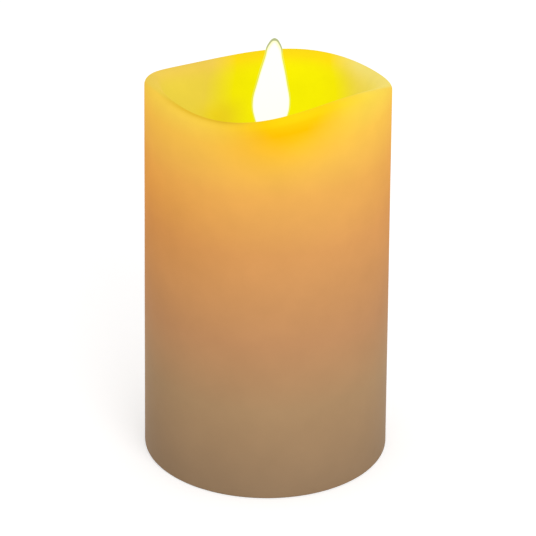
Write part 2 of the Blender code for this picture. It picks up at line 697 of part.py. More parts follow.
def make_battery_door():
    """The door on the underside, its bridge contact and spring, all turning on the hinge line."""
    door = box("battery_door", (-DOOR_HALF, HINGE_Y, BASE_BOTTOM), (DOOR_HALF, DOOR_FREE_Y, DOOR_TOP),
               WHITE_PLASTIC)
    join(door, rod("door_barrel", (-DOOR_HALF, HINGE_Y, HINGE_Z), (DOOR_HALF, HINGE_Y, HINGE_Z),
                   BARREL_RADIUS, steps=BOSS_STEPS))
    pin = DOOR_HALF + TRUNNION_LENGTH
    join(door, rod("door_trunnions", (-pin, HINGE_Y, HINGE_Z), (pin, HINGE_Y, HINGE_Z), TRUNNION_RADIUS,
                   steps=SMALL_STEPS))
    sunk = DOOR_TOP - DOOR_THICKNESS / 2
    join(door, box("door_catch", (-CATCH_HALF, DOOR_FREE_Y - CATCH_DEPTH, sunk),
                   (CATCH_HALF, DOOR_FREE_Y + CATCH_BITE, DOOR_TOP + CATCH_HEIGHT)))
    join(door, box("door_tab", (-TAB_WIDTH / 2, DOOR_FREE_Y - CATCH_DEPTH, BASE_BOTTOM),
                   (TAB_WIDTH / 2, DOOR_FREE_Y + TAB_LENGTH, BASE_BOTTOM + TAB_THICKNESS)))
    bridge_outline = racetrack(CELL_OFFSET, CONTACT_HALF)
    bridge = plate("door_contact", [bridge_outline], BRIDGE_BOTTOM, BRIDGE_TOP, BRASS)
    foot = BRIDGE_TOP + SEAT_GAP
    spring = make_spring("door_spring", -CELL_OFFSET, foot, foot + SPRING_HEIGHT)
    hinge = joint_empty("door_hinge", (0.0, HINGE_Y, HINGE_Z))
    carry(hinge, door, bridge, spring)


def screw_mesh(name, head, head_height, shank, length):
    """A pan-head screw with a cross recess. Its head sits on z = 0 and faces up."""
    profile = [(0.0, head_height), (head * HEAD_FLAT, head_height), (head, head_height / 2), (head, 0.0),
               (shank, 0.0), (shank, shank - length), (0.0, -length)]
    blank = turned(name, profile, steps=SMALL_STEPS)
    arm = head * RECESS_REACH
    low = head_height - RECESS_DEPTH
    for half_x, half_y in ((arm, RECESS_WIDTH / 2), (RECESS_WIDTH / 2, arm)):
        cut(blank, box("screw_recess", (-half_x, -half_y, low), (half_x, half_y, 2 * head_height)))
    mesh = worked_mesh(blank)
    mesh.materials.append(STEEL)
    for helper in [step.object for step in blank.modifiers if step.type == "BOOLEAN"]:
        bpy.data.objects.remove(helper)
    bpy.data.objects.remove(blank)
    return mesh


def drive_screw(name, mesh, seat, facing):
    """Seat a screw with its head facing the given way."""
    screw = bpy.data.objects.new(name, mesh)
    turn = Vector(facing).to_track_quat("Z", "Y").to_matrix().to_4x4()
    screw.matrix_world = Matrix.Translation(seat) @ turn
    PARTS.objects.link(screw)


def make_screws():
    """All the fasteners, in two sizes."""
    large = screw_mesh("case_screw", SCREW_HEAD, SCREW_HEAD_HEIGHT, SCREW_SHANK, SCREW_LENGTH)
    small = screw_mesh("small_screw", SMALL_HEAD, SMALL_HEAD_HEIGHT, SMALL_SHANK, SMALL_LENGTH)
    for number, (x, y) in enumerate(base_screw_places(), 1):
        drive_screw(f"base_screw_{number}", large, (x, y, BASE_BOTTOM + SCREW_HEAD_HEIGHT), (0, 0, -1))
    for side, word in ((-1, "left"), (1, "right")):
        drive_screw(f"mount_screw_{word}", large, (side * POST_OFFSET, 0.0, EAR_TOP + SEAT_GAP), (0, 0, 1))
        drive_screw(f"switch_screw_{word}", small,
                    (side * SWITCH_SCREW_X, SWITCH_Y, SWITCH_BOTTOM + SWITCH_PLATE + SEAT_GAP), (0, 0, 1))
    for side, word in ((-1, "front"), (1, "back")):
        drive_screw(f"housing_screw_{word}", large,
                    (SPLIT_BOSS_RIGHT + SEAT_GAP, side * SPLIT_BOSS_Y, SPLIT_BOSS_Z), (1, 0, 0))
    for word, z in zip(("lower", "upper"), board_screw_heights()):
        drive_screw(f"board_screw_{word}", small, (0.0, BOARD_FACE + SEAT_GAP, z), (0, 1, 0))


def make_switch():
    """The slide switch behind the base plate, and the knob that reaches out through its slot."""
    y_low = SWITCH_Y - SWITCH_HALF_WIDTH
    y_high = SWITCH_Y + SWITCH_HALF_WIDTH
    plate_top = SWITCH_BOTTOM + SWITCH_PLATE
    switch = box("slide_switch", (-SWITCH_HALF, y_low + SWITCH_PLATE, SWITCH_BOTTOM + SWITCH_PLATE / 2),
                 (SWITCH_HALF, y_high - SWITCH_PLATE, SWITCH_TOP), STEEL)
    join(switch, box("switch_flange", (-SWITCH_PLATE_HALF, y_low, SWITCH_BOTTOM),
                     (SWITCH_PLATE_HALF, y_high, plate_top)))
    for pin in (-1, 0, 1):
        x = pin * PIN_PITCH
        join(switch, box("switch_pin", (x - PIN_HALF, SWITCH_Y - PIN_HALF, SWITCH_TOP - PIN_LENGTH / 2),
                         (x + PIN_HALF, SWITCH_Y + PIN_HALF, SWITCH_TOP + PIN_LENGTH)))
    for side in (-1, 1):
        x = side * SWITCH_SCREW_X
        cut(switch, rod("switch_screw_hole", (x, SWITCH_Y, BASE_TOP), (x, SWITCH_Y, SWITCH_TOP), SMALL_HOLE,
                        steps=SMALL_STEPS))
    rest = -SWITCH_TRAVEL / 2
    shoe_bottom = BASE_TOP + SEAT_GAP
    knob = box("switch_knob", (-KNOB_LENGTH / 2, -KNOB_WIDTH / 2, BASE_BOTTOM - KNOB_STANDS_OUT),
               (KNOB_LENGTH / 2, KNOB_WIDTH / 2, shoe_bottom + SHOE_THICKNESS / 2), BLACK_PLASTIC)
    shoe = box("knob_shoe", (-SHOE_HALF, -SHOE_HALF_WIDTH, shoe_bottom),
               (SHOE_HALF, SHOE_HALF_WIDTH, shoe_bottom + SHOE_THICKNESS))
    for piece in (knob, shoe):
        piece.location = (rest, SWITCH_Y, 0.0)
    join(knob, shoe)


def board_screw_heights():
    """The two screws that hold the board, lower and upper."""
    return (BOARD_BOTTOM + BOARD_SCREW_INSET, BOARD_TOP - BOARD_SCREW_INSET)


def board_part(name, x, z, size, paint):
    """A small block on the face of the board."""
    half_x = size[0] / 2
    half_z = size[2] / 2
    low = (x - half_x, BOARD_FACE + SEAT_GAP, z - half_z)
    high = (x + half_x, BOARD_FACE + SEAT_GAP + size[1], z + half_z)
    box(name, low, high, paint)


def make_board():
    """The control board on the back of the case, and the parts soldered to it."""
    board = box("control_board", (-BOARD_HALF_WIDTH, BOARD_BACK, BOARD_BOTTOM),
                (BOARD_HALF_WIDTH, BOARD_FACE, BOARD_TOP), BOARD)
    for z in board_screw_heights():
        cut(board, rod("board_hole", (0.0, CASE_RADIUS, z), (0.0, BOARD_FACE + BOARD_STANDOFF, z), SMALL_HOLE,
                       steps=SMALL_STEPS))
    board_part("controller_chip", PARTS_COLUMN, BOARD_MIDDLE, CHIP_SIZE, BLACK_PLASTIC)
    board_part("resistor_coil", PARTS_COLUMN, BOARD_MIDDLE + PARTS_PITCH, RESISTOR_SIZE, BLACK_PLASTIC)
    board_part("resistor_led", PARTS_COLUMN, BOARD_MIDDLE - PARTS_PITCH, RESISTOR_SIZE, BLACK_PLASTIC)
    board_part("drive_transistor", -PARTS_COLUMN, BOARD_MIDDLE - PARTS_PITCH, TRANSISTOR_SIZE, BLACK_PLASTIC)
    start = BOARD_FACE + SEAT_GAP
    rod("capacitor", (-PARTS_COLUMN, start, BOARD_MIDDLE),
        (-PARTS_COLUMN, start + CAPACITOR_HEIGHT, BOARD_MIDDLE), CAPACITOR_RADIUS, BLACK_PLASTIC,
        steps=MEDIUM_STEPS)


def housing_profile():
    """The wall of the mechanism housing: floor, body, shoulder and collar."""
    body_in = HOUSING_RADIUS - HOUSING_WALL
    collar_in = COLLAR_RADIUS - HOUSING_WALL
    shoulder_low = SHOULDER_TOP - SHOULDER_HEIGHT
    return [(collar_in, COLLAR_TOP), (COLLAR_RADIUS, COLLAR_TOP), (COLLAR_RADIUS, SHOULDER_TOP),
            (HOUSING_RADIUS, shoulder_low), (HOUSING_RADIUS, HOUSING_BOTTOM), (BOBBIN_BORE, HOUSING_BOTTOM),
            (BOBBIN_BORE, FLOOR_TOP), (body_in, FLOOR_TOP), (body_in, shoulder_low - HOUSING_WALL),
            (collar_in, SHOULDER_TOP - HOUSING_WALL)]


def make_housing():
    """The mechanism housing, made whole and then split into left and right halves."""
    whole = turned("housing_whole", housing_profile(), closed=True)
    mid_wall = HOUSING_RADIUS - HOUSING_WALL / 2
    block_back = LED_RADIUS + LED_BLOCK_WALL - LED_OFFSET
    join(whole, box("led_block", (-LED_BLOCK_HALF, -mid_wall, LED_SEAT_Z - LED_BLOCK_RISE),
                    (LED_BLOCK_HALF, block_back, LED_SEAT_Z + LED_BLOCK_RISE)))
    for side in (-1, 1):
        inner = side * mid_wall
        outer = side * EAR_REACH
        join(whole, box("housing_ear", (min(inner, outer), -EAR_HALF_WIDTH, HOUSING_BOTTOM),
                        (max(inner, outer), EAR_HALF_WIDTH, EAR_TOP)))
        y = side * SPLIT_BOSS_Y
        join(whole, rod("split_boss", (-SPLIT_BOSS_LEFT, y, SPLIT_BOSS_Z),
                        (SPLIT_BOSS_RIGHT, y, SPLIT_BOSS_Z), SCREW_BOSS, steps=BOSS_STEPS))
    reach = LED_AXIS * LED_HEIGHT
    cut(whole, rod("led_bore", LED_SEAT, LED_SEAT + reach, LED_RADIUS + SEAT_GAP, steps=MEDIUM_STEPS))
    cut(whole, rod("led_sink", LED_SEAT - reach, LED_SEAT, LED_FLANGE_RADIUS + SEAT_GAP, steps=MEDIUM_STEPS))
    wire_z = PIVOT_Z + WIRE_RISE
    cut(whole, rod("wire_hole", (0.0, -HOUSING_RADIUS, wire_z), (0.0, HOUSING_RADIUS, wire_z),
                   WIRE_RADIUS + SEAT_GAP, steps=SMALL_STEPS))
    below = HOUSING_BOTTOM - HOUSING_WALL
    above = FLOOR_TOP + HOUSING_WALL
    for y in (LED_SLOT_Y, COIL_SLOT_Y):
        cut(whole, box("lead_slot", (-LEAD_SLOT_HALF, y - LEAD_SLOT_WIDTH / 2, below),
                       (LEAD_SLOT_HALF, y + LEAD_SLOT_WIDTH / 2, above)))
    for side in (-1, 1):
        x = side * POST_OFFSET
        cut(whole, rod("ear_hole", (x, 0.0, below), (x, 0.0, EAR_TOP + EAR_THICKNESS), SCREW_HOLE,
                       steps=SMALL_STEPS))
        y = side * SPLIT_BOSS_Y
        cut(whole, rod("split_pilot", (SPLIT_BOSS_RIGHT - PILOT_DEPTH, y, SPLIT_BOSS_Z),
                       (2 * SPLIT_BOSS_RIGHT, y, SPLIT_BOSS_Z), SCREW_HOLE, steps=SMALL_STEPS))
    mesh = worked_mesh(whole)
    bpy.data.objects.remove(whole)
    beyond = 2 * EAR_REACH
    for side, word in ((-1, "left"), (1, "right")):
        near = side * HOUSING_SPLIT / 2
        far = side * beyond
        half = place(f"mechanism_housing_{word}", mesh.copy(), BLACK_PLASTIC)
        keep = box(f"{word}_half", (min(near, far), -beyond, 0.0), (max(near, far), beyond, 2 * COLLAR_TOP))
        combine(half, "INTERSECT", [keep])


def make_lamp():
    """The lamp in the front of the housing, tilted towards the flame, and its two legs."""
    dome = LED_HEIGHT - LED_RADIUS
    low = -LED_FLANGE_HEIGHT
    profile = arc((0.0, dome), LED_RADIUS, 90, 0)
    profile += [(LED_RADIUS, 0.0), (LED_FLANGE_RADIUS, 0.0), (LED_FLANGE_RADIUS, low), (0.0, low)]
    lamp = turned("led", profile, LENS, steps=MEDIUM_STEPS)
    lamp.location = LED_SEAT - LED_AXIS * SEAT_GAP
    lamp.rotation_euler.x = -LED_TILT
    for side, word in ((1, "positive"), (-1, "negative")):
        top = led_leg(side, 0.0)
        tube(f"led_leg_{word}", [top, led_leg(side, LED_LEG_LENGTH)], LED_LEG_RADIUS, STEEL, kind="POLY")


def led_leg(side, distance):
    """A point on one of the lamp's legs, this far below the lamp."""
    below = LED_FLANGE_HEIGHT + 2 * SEAT_GAP + distance
    return LED_SEAT - LED_AXIS * below + Vector((side * LED_LEG_SPACING / 2, 0.0, 0.0))


def make_coil():
    """The drive coil on the housing floor."""
    low = BOBBIN_BOTTOM + BOBBIN_FLANGE
    high = BOBBIN_TOP - BOBBIN_FLANGE
    turned("coil_bobbin", [(BOBBIN_BORE, BOBBIN_TOP), (BOBBIN_RADIUS, BOBBIN_TOP), (BOBBIN_RADIUS, high),
                           (BOBBIN_CORE, high), (BOBBIN_CORE, low), (BOBBIN_RADIUS, low),
                           (BOBBIN_RADIUS, BOBBIN_BOTTOM), (BOBBIN_BORE, BOBBIN_BOTTOM)], WHITE_PLASTIC,
           closed=True, steps=MEDIUM_STEPS)
    outer = BOBBIN_RADIUS - WINDING_INSET
    inner = BOBBIN_CORE + SEAT_GAP
    turned("coil_winding", [(inner, high - SEAT_GAP), (outer, high - SEAT_GAP), (outer, low + SEAT_GAP),
                            (inner, low + SEAT_GAP)], COPPER, closed=True, steps=MEDIUM_STEPS)


def flame_half():
    """One side of the flame from below its tip to its tail: half width, height and kind of point."""
    return [(TIP_HALF_WIDTH, FLAME_REACH - TIP_DEPTH, "AUTO"),
            (BROW_HALF_WIDTH, FLAME_REACH - BROW_DEPTH, "AUTO"),
            (FLANK_HALF_WIDTH, FLANK_HEIGHT, "AUTO"),
            (FLAME_HALF_WIDTH, FLAME_BELLY, "AUTO"),
            (HEEL_HALF_WIDTH, HEEL_HEIGHT, "AUTO"),
            (NECK_HALF_WIDTH, NECK_HEIGHT, "AUTO"),
            (EYE_HALF_WIDTH, 0.0, "AUTO"),
            (STEM_HALF_WIDTH, -STEM_SHOULDER, "VECTOR"),
            (STEM_HALF_WIDTH, TAIL_HEIGHT - STEM_LENGTH, "VECTOR"),
            (TAIL_HALF_WIDTH, TAIL_HEIGHT - STEM_LENGTH, "VECTOR"),
            (TAIL_HALF_WIDTH, -STEM_LENGTH, "VECTOR")]


def make_flame():
    """The flame paddle and its magnet, hung on the wire and leaning a little in mid swing."""
    curve = bpy.data.curves.new("flame_outline", "CURVE")
    curve.dimensions = "2D"
    curve.fill_mode = "BOTH"
    curve.extrude = FLAME_THICKNESS / 2
    curve.resolution_u = OUTLINE_STEPS
    right = flame_half()
    left = [(-x, z, kind) for x, z, kind in reversed(right)]
    knots = [(0.0, FLAME_REACH, "AUTO")] + right + left
    edge = curve.splines.new("BEZIER")
    edge.bezier_points.add(len(knots) - 1)
    for knot, (x, z, kind) in zip(edge.bezier_points, knots):
        knot.co = (x, z, 0.0)
        knot.handle_left_type = kind
        knot.handle_right_type = kind
    edge.use_cyclic_u = True
    eye = arc((0.0, 0.0), WIRE_RADIUS + SEAT_GAP, 0, 360, SMALL_STEPS)[1:]
    hole = curve.splines.new("POLY")
    hole.points.add(len(eye) - 1)
    for point, (x, z) in zip(hole.points, eye):
        point.co = (x, z, 0.0, 1.0)
    hole.use_cyclic_u = True
    paddle = meshed("flame_paddle", curve, Matrix.Rotation(math.pi / 2, 4, "X"), FLAME)
    top = -STEM_LENGTH - SEAT_GAP
    magnet = rod("flame_magnet", (0.0, 0.0, top - MAGNET_HEIGHT), (0.0, 0.0, top), MAGNET_RADIUS, MAGNET,
                 steps=MEDIUM_STEPS)
    pivot = joint_empty("flame_pivot", (0.0, 0.0, PIVOT_Z), FLAME_LEAN)
    for piece in (paddle, magnet):
        piece.parent = pivot


def make_pivot_wire():
    """The wire that the flame hangs on, a little lower in the middle than at its ends."""
    end = COLLAR_RADIUS - SEAT_GAP
    high = PIVOT_Z + WIRE_RISE
    tube("pivot_wire", [(0.0, -end, high), (0.0, HOUSING_WALL - COLLAR_RADIUS, high),
                        (0.0, -WIRE_FLAT_HALF, PIVOT_Z), (0.0, WIRE_FLAT_HALF, PIVOT_Z),
                        (0.0, COLLAR_RADIUS - HOUSING_WALL, high), (0.0, end, high)],
         WIRE_RADIUS, STEEL, kind="POLY")


def down_to_pad(x):
    """The last points of a lead that comes down in front of the board to its upper edge."""
    pad = Vector((x, PAD_Y, BOARD_TOP - PAD_INSET))
    return [pad + Vector((0.0, LEAD_BOW, LEAD_DROP)), pad + Vector((0.0, LEAD_BEND, LEAD_BEND)), pad]


def make_battery_leads():
    """The wires from the contacts at the roof of the case to the board."""
    for side, word, paint in ((-1, "positive", RED), (1, "negative", BLACK)):
        x = side * CELL_OFFSET
        tab = Vector((x, ROOF_HALF_WIDTH + TAB_REACH + SEAT_GAP, CONTACT_BOTTOM))
        route = [tab, tab + Vector((0.0, LEAD_START, -LEAD_RADIUS))] + down_to_pad(x)
        tube(f"battery_lead_{word}", route, LEAD_RADIUS, paint)


def make_switch_leads():
    """The wires from the switch's pins up to the lower edge of the board."""
    for pin, word, paint in ((-1, "on", RED), (0, "common", BLACK), (1, "timer", YELLOW)):
        x = pin * PIN_PITCH
        top = Vector((x, SWITCH_Y, SWITCH_TOP + PIN_LENGTH + SEAT_GAP))
        pad = Vector((x, PAD_Y, BOARD_BOTTOM + PAD_INSET))
        route = [top, top + Vector((0.0, 0.0, LEAD_START)), pad + Vector((0.0, LEAD_BOW, 0.0)), pad]
        tube(f"switch_lead_{word}", route, LEAD_RADIUS, paint)


def make_lamp_leads():
    """The wires from the lamp's legs, out through the housing floor and over the case to the board."""
    under = (ROOF_TOP + HOUSING_BOTTOM) / 2
    for side, word, paint in ((1, "positive", RED), (-1, "negative", BLACK)):
        start = led_leg(side, LED_LEG_LENGTH + SEAT_GAP)
        route = [start, start - LED_AXIS * LEAD_START, (side * LED_SLOT_X, LED_SLOT_Y, HOUSING_BOTTOM),
                 (side * LED_PAD_X, LED_SLOT_Y / 2, under), (side * LED_PAD_X, CASE_RADIUS, under)]
        tube(f"led_lead_{word}", route + down_to_pad(side * LED_PAD_X), LEAD_RADIUS, paint)


def make_coil_leads():
    """The enamelled wires from the coil, out through the housing floor to the board."""
    for side, word in ((1, "start"), (-1, "end")):
        x = side * COIL_PAD_X
        start = Vector((x, BOBBIN_RADIUS - WINDING_INSET + SEAT_GAP, BOBBIN_BOTTOM + BOBBIN_HEIGHT / 2))
        route = [start, start + Vector((0.0, LEAD_BEND, -LEAD_RADIUS)), (x, COIL_SLOT_Y, HOUSING_BOTTOM)]
        tube(f"coil_lead_{word}", route + down_to_pad(x), ENAMEL_RADIUS, COPPER)


def main():
    """Build every piece of the candle."""
    clear_scene()
    make_wax_shell()
    make_base_plate()
    make_battery_case()
    make_cells_and_contacts()
    make_battery_door()
    make_screws()
    make_switch()
    make_board()
    make_housing()
    make_lamp()
    make_coil()
    make_flame()
    make_pivot_wire()
    make_battery_leads()
    make_switch_leads()
    make_lamp_leads()
    make_coil_leads()


main()
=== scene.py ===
"""Flameless LED candle: the wax with the lamp's glow painted on, the swinging flame and the finish of every
piece inside.

The pieces are built round the packed solids, in metres, with +Z up and the front facing -Y.
"""

import json
import math

import bmesh
import bpy
from bpy.props import FloatProperty, FloatVectorProperty, PointerProperty
from mathutils import Matrix, Vector, noise


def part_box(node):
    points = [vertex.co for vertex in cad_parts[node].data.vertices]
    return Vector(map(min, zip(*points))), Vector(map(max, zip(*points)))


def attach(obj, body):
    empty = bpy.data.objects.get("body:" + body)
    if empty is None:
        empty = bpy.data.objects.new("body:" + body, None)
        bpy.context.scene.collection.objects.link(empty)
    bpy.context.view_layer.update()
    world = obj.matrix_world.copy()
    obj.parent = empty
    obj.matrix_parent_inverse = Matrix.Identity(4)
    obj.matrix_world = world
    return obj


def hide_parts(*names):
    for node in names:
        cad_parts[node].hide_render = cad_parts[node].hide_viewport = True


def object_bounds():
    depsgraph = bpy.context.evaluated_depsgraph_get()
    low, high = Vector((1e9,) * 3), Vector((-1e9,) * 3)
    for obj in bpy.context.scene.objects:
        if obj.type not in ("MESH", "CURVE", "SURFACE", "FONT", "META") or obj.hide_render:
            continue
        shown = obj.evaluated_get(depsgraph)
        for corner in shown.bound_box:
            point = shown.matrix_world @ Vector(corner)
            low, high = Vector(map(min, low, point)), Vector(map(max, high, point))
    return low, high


bl_info = {
    "name": "Flameless LED Candle",
    "version": (1, 0, 0),
    "blender": (4, 5, 0),
    "location": "3D View > Sidebar > Candle",
    "description": "Builds a flameless LED candle round its solids and sets a plain studio for it",
    "category": "Add Mesh",
}

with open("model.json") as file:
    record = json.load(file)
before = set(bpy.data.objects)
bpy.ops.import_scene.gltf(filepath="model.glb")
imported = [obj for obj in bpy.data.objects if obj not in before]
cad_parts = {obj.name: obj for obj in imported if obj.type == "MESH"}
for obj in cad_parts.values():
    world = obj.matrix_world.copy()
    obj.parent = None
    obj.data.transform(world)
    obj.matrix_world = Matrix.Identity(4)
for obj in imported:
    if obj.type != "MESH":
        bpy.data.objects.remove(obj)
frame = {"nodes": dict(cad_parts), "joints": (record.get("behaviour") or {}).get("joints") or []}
CAD_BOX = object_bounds()

# Places read from the solids
JOINTS = {joint["name"]: joint for joint in frame["joints"]}
PIVOT = Vector(JOINTS["flame_swing"]["pos_m"])
CANDLE_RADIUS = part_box("wax_shell")[1].x
CANDLE_TOP = CAD_BOX[1].z
COLLAR_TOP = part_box("mechanism_housing_left")[1].z
BOARD_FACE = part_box("control_board")[1].y
FLAME_HALF_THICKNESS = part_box("flame_paddle")[1].y

# Fineness of the meshes
WAX_STEPS = 160
WALL_ROWS = 60
BOWL_ROWS = 26
CAVITY_ROWS = 12
ARC_ROWS = 6
FLAME_COLUMNS = 16
ROUND_STEPS = 48
SCREW_STEPS = 20
TURN_POINTS = 36
WIRE_SIDES = 10

# Edges: how near points are welded, what is flat or sharp, and how far hard edges are rounded
WELD = 0.00002
FLAT = math.radians(1)
SHARP = math.radians(40)
SOFT_EDGE = 0.0002
THIN_EDGE = 0.0001

# The flame's rounded edge and the eye that it hangs by
FLAME_ROUND = 0.0012
EYE_RADIUS = 0.0007
EYE_REACH = 0.0010

# Zones of the wax
OUTSIDE, CREST, BOWL, CAVITY = range(4)


# Settings

def a_number(name, description, value):
    """A plain number that a user would change."""
    return FloatProperty(name=name, description=description, default=value)


def a_length(name, description, metres):
    """A size that a user would change."""
    return FloatProperty(name=name, description=description, default=metres, unit="LENGTH")


def an_angle(name, description, degrees):
    """An angle that a user would change."""
    return FloatProperty(name=name, description=description, default=math.radians(degrees), subtype="ANGLE")


def a_place(name, description, metres):
    """A point that a user would move."""
    return FloatVectorProperty(name=name, description=description, default=metres, subtype="TRANSLATION")


def a_colour(name, description, linear):
    """A colour that a user would change, as linear values."""
    return FloatVectorProperty(name=name, description=description, default=linear, subtype="COLOR",
                               size=3, min=0.0, max=1.0)


class WaxShape(bpy.types.PropertyGroup):
    """Sizes of the wax shell, as in the solids"""

    wall: a_length("Wall", "Thickness of the wax wall", 0.0046)
    floor_gap: a_length("Floor gap", "From the collar up to the floor of the bowl", 0.0005)
    bowl_depth: a_length("Bowl depth", "From the mean rim down to the floor of the bowl", 0.02145)
    bowl_thickness: a_length("Bowl thickness", "Wax at the edge of the flame hole", 0.0050)
    hole_radius: a_length("Flame hole", "Radius of the hole that the flame hangs in", 0.0101)
    roof_rise: a_length("Roof rise", "How far the cavity's roof climbs to the wall", 0.0065)
    outer_round: a_length("Outer round", "Rounding of the rim's outer edge", 0.0021)
    inner_round: a_length("Inner round", "Rounding of the rim's inner edge", 0.0024)
    land: a_length("Land", "Width of the flat on the rim", 0.0002)
    slope: an_angle("Slope", "Slope of the bowl where it leaves the rim", 60)
    foot_round: a_length("Foot round", "Rounding of the foot", 0.0006)
    tilt: a_length("Rim tilt", "Height of one wave round the rim", 0.0068)
    tilt_towards: an_angle("Tilt towards", "Where that wave is highest, from the front", 9)
    swell: a_length("Rim swell", "Height of two waves round the rim", 0.0011)
    swell_towards: an_angle("Swell towards", "Where those waves are highest, from the front", 67)
    ripple: a_length("Rim ripple", "Height of three waves round the rim", 0.0019)
    ripple_towards: an_angle("Ripple towards", "Where those waves are highest, from the front", 42)
    unevenness: a_length("Unevenness", "How far the cast wall dips below its true round", 0.00006)


class GlowColours(bpy.types.PropertyGroup):
    """Colours of the wax and flame, with the lamp's glow, light and shade painted in"""

    # From the foot up to the rim these colours paint the glow of the lamp inside through the wall: tan where
    # it is unlit, growing amber and yellow towards the rim
    foot: a_colour("Foot", "Unlit wax at the foot", (0.334, 0.217, 0.123))
    low: a_colour("Low wall", "Wax a quarter of the way up", (0.432, 0.266, 0.134))
    middle: a_colour("Middle", "Wax below the middle", (0.548, 0.276, 0.122))
    warm: a_colour("Warm", "Wax two thirds of the way up", (0.722, 0.338, 0.106))
    amber: a_colour("Amber", "Wax level with the floor of the bowl", (0.863, 0.430, 0.093))
    shoulder: a_colour("Shoulder", "Wax just under the mean rim", (0.962, 0.560, 0.080))
    rim: a_colour("Rim", "Wax at the highest part of the rim", (0.995, 0.760, 0.084))
    # Painted pool of the lamp's light on the wall in front of it, a little different to each side
    painted_hot_left: a_colour("Hot spot, left", "Wax in front of the lamp, on its left", (0.995, 0.500, 0.000))
    painted_hot_right: a_colour("Hot spot, right", "Wax in front of the lamp, on its right", (0.995, 0.555, 0.000))
    # Painted shade: the lit wax turns darker and more orange on the side away from the lamp
    away: a_colour("Away", "Tint of the lit wax away from the lamp", (1.000, 0.800, 0.480))
    # Painted light in the bowl: brightest in the lamp's beam behind the flame, dimmer away from it, and paler
    # under the high side of the rim
    bowl_near: a_colour("Bowl, near", "Bowl behind the flame", (0.930, 0.860, 0.000))
    bowl_edge: a_colour("Bowl, edge", "Bowl at the edge of the lamp's beam", (0.915, 0.820, 0.001))
    bowl_middle: a_colour("Bowl, middle", "Bowl beside the beam", (0.880, 0.735, 0.017))
    bowl_far: a_colour("Bowl, far", "Bowl away from the beam", (0.820, 0.625, 0.056))
    bowl_side_painted_light: a_colour("Bowl, side", "Bowl under the high side of the rim", (0.920, 0.740, 0.108))
    # Painted shade low in the bowl on its left, beside the flame
    bowl_painted_shade: a_colour("Bowl, low", "Bowl beside the flame, low on the left", (0.832, 0.630, 0.012))
    # Painted light and shade on the rim: darker on the low left side, orange behind the flame, paler on the
    # high right side
    crest_painted_shade: a_colour("Crest, low", "Rim on the low side", (0.860, 0.602, 0.086))
    crest_painted_beam: a_colour("Crest, beam", "Rim behind the flame", (0.960, 0.700, 0.006))
    crest_painted_highlight: a_colour("Crest, high", "Rim on the high side", (0.890, 0.728, 0.165))
    # Painted glow where the light of the bowl shines through the thin lip
    lip_glow: a_colour("Lip, glow", "Lip where the bowl shines through it", (0.985, 0.700, 0.004))
    # A painted line along the lip: painted shade on its low left side and a painted highlight on its high
    # right side
    lip_painted_shade: a_colour("Lip, low", "Line on the low side of the lip", (0.780, 0.480, 0.016))
    lip_painted_highlight: a_colour("Lip, high", "Line on the high side of the lip", (0.980, 0.750, 0.180))
    # The flame's glow is painted: white in its body, pale yellow just inside its edge, and darker at its edge
    # and its clear tip
    flame: a_colour("Flame", "Body of the flame", (1.0, 1.0, 0.985))
    flame_glow: a_colour("Flame glow", "Just inside the flame's edge", (1.0, 0.985, 0.550))
    flame_edge: a_colour("Flame edge", "Edge of the flame", (0.770, 0.765, 0.060))
    flame_tip: a_colour("Flame tip", "Edge of the flame's clear tip", (0.420, 0.460, 0.200))


class FinishColours(bpy.types.PropertyGroup):
    """Colours of the plastics, metals and leads"""

    white_plastic: a_colour("White plastic", "Base plate, door, case and bobbin", (0.74, 0.72, 0.66))
    black_plastic: a_colour("Black plastic", "Housing, knob and chips", (0.030, 0.030, 0.034))
    steel: a_colour("Steel", "Screws, springs, switch and wire", (0.62, 0.62, 0.60))
    contact: a_colour("Contacts", "Plated contact plates", (0.70, 0.64, 0.48))
    magnet: a_colour("Magnet", "Nickel on the magnet", (0.55, 0.55, 0.54))
    copper: a_colour("Copper", "Enamelled winding wire", (0.62, 0.25, 0.10))
    board: a_colour("Board", "Lacquer on the control board", (0.030, 0.200, 0.080))
    trace: a_colour("Traces", "Lacquer where it covers a trace", (0.060, 0.290, 0.120))
    jacket: a_colour("Cell jacket", "Sleeve of the cells", (0.045, 0.070, 0.130))
    collar: a_colour("Cell collar", "Band round a cell's positive end", (0.400, 0.415, 0.435))
    lens: a_colour("Lamp", "Lens of the lamp", (1.000, 0.780, 0.380))
    red: a_colour("Red lead", "Sleeve of the positive leads", (0.500, 0.030, 0.030))
    black: a_colour("Black lead", "Sleeve of the negative leads", (0.020, 0.020, 0.020))
    yellow: a_colour("Yellow lead", "Sleeve of the timer lead", (0.700, 0.480, 0.050))


class StageSettings(bpy.types.PropertyGroup):
    """The camera, the floor and the light"""

    distance: a_length("Distance", "From the camera to its aim", 1.8764)
    elevation: an_angle("Elevation", "Height of the camera above the horizon", 27.988)
    roll: an_angle("Roll", "Turn of the camera about its view", 0.505)
    lens: a_number("Lens", "Focal length in millimetres", 404.07)
    aim: a_place("Aim", "Point in the middle of the view", (0.000407, 0.0, 0.061103))
    floor: a_colour("Floor", "Colour of the floor", (0.72, 0.72, 0.72))
    floor_lift: a_number("Floor lift", "Light that the floor adds for the eye alone", 0.46)
    sky: a_number("Sky", "Strength of the even light from all round", 0.78)
    key: a_number("Key lamp", "Power of the large lamp at the front right, in watts", 5.5)
    key_place: a_place("Key lamp's place", "Where the large lamp hangs", (0.45, -1.00, 0.75))
    key_size: a_length("Key lamp's size", "Width of the large lamp", 0.8)


class CandleSettings(bpy.types.PropertyGroup):
    """All that a user would change"""

    wax: PointerProperty(type=WaxShape)
    glow: PointerProperty(type=GlowColours)
    finish: PointerProperty(type=FinishColours)
    stage: PointerProperty(type=StageSettings)


# Mesh helpers

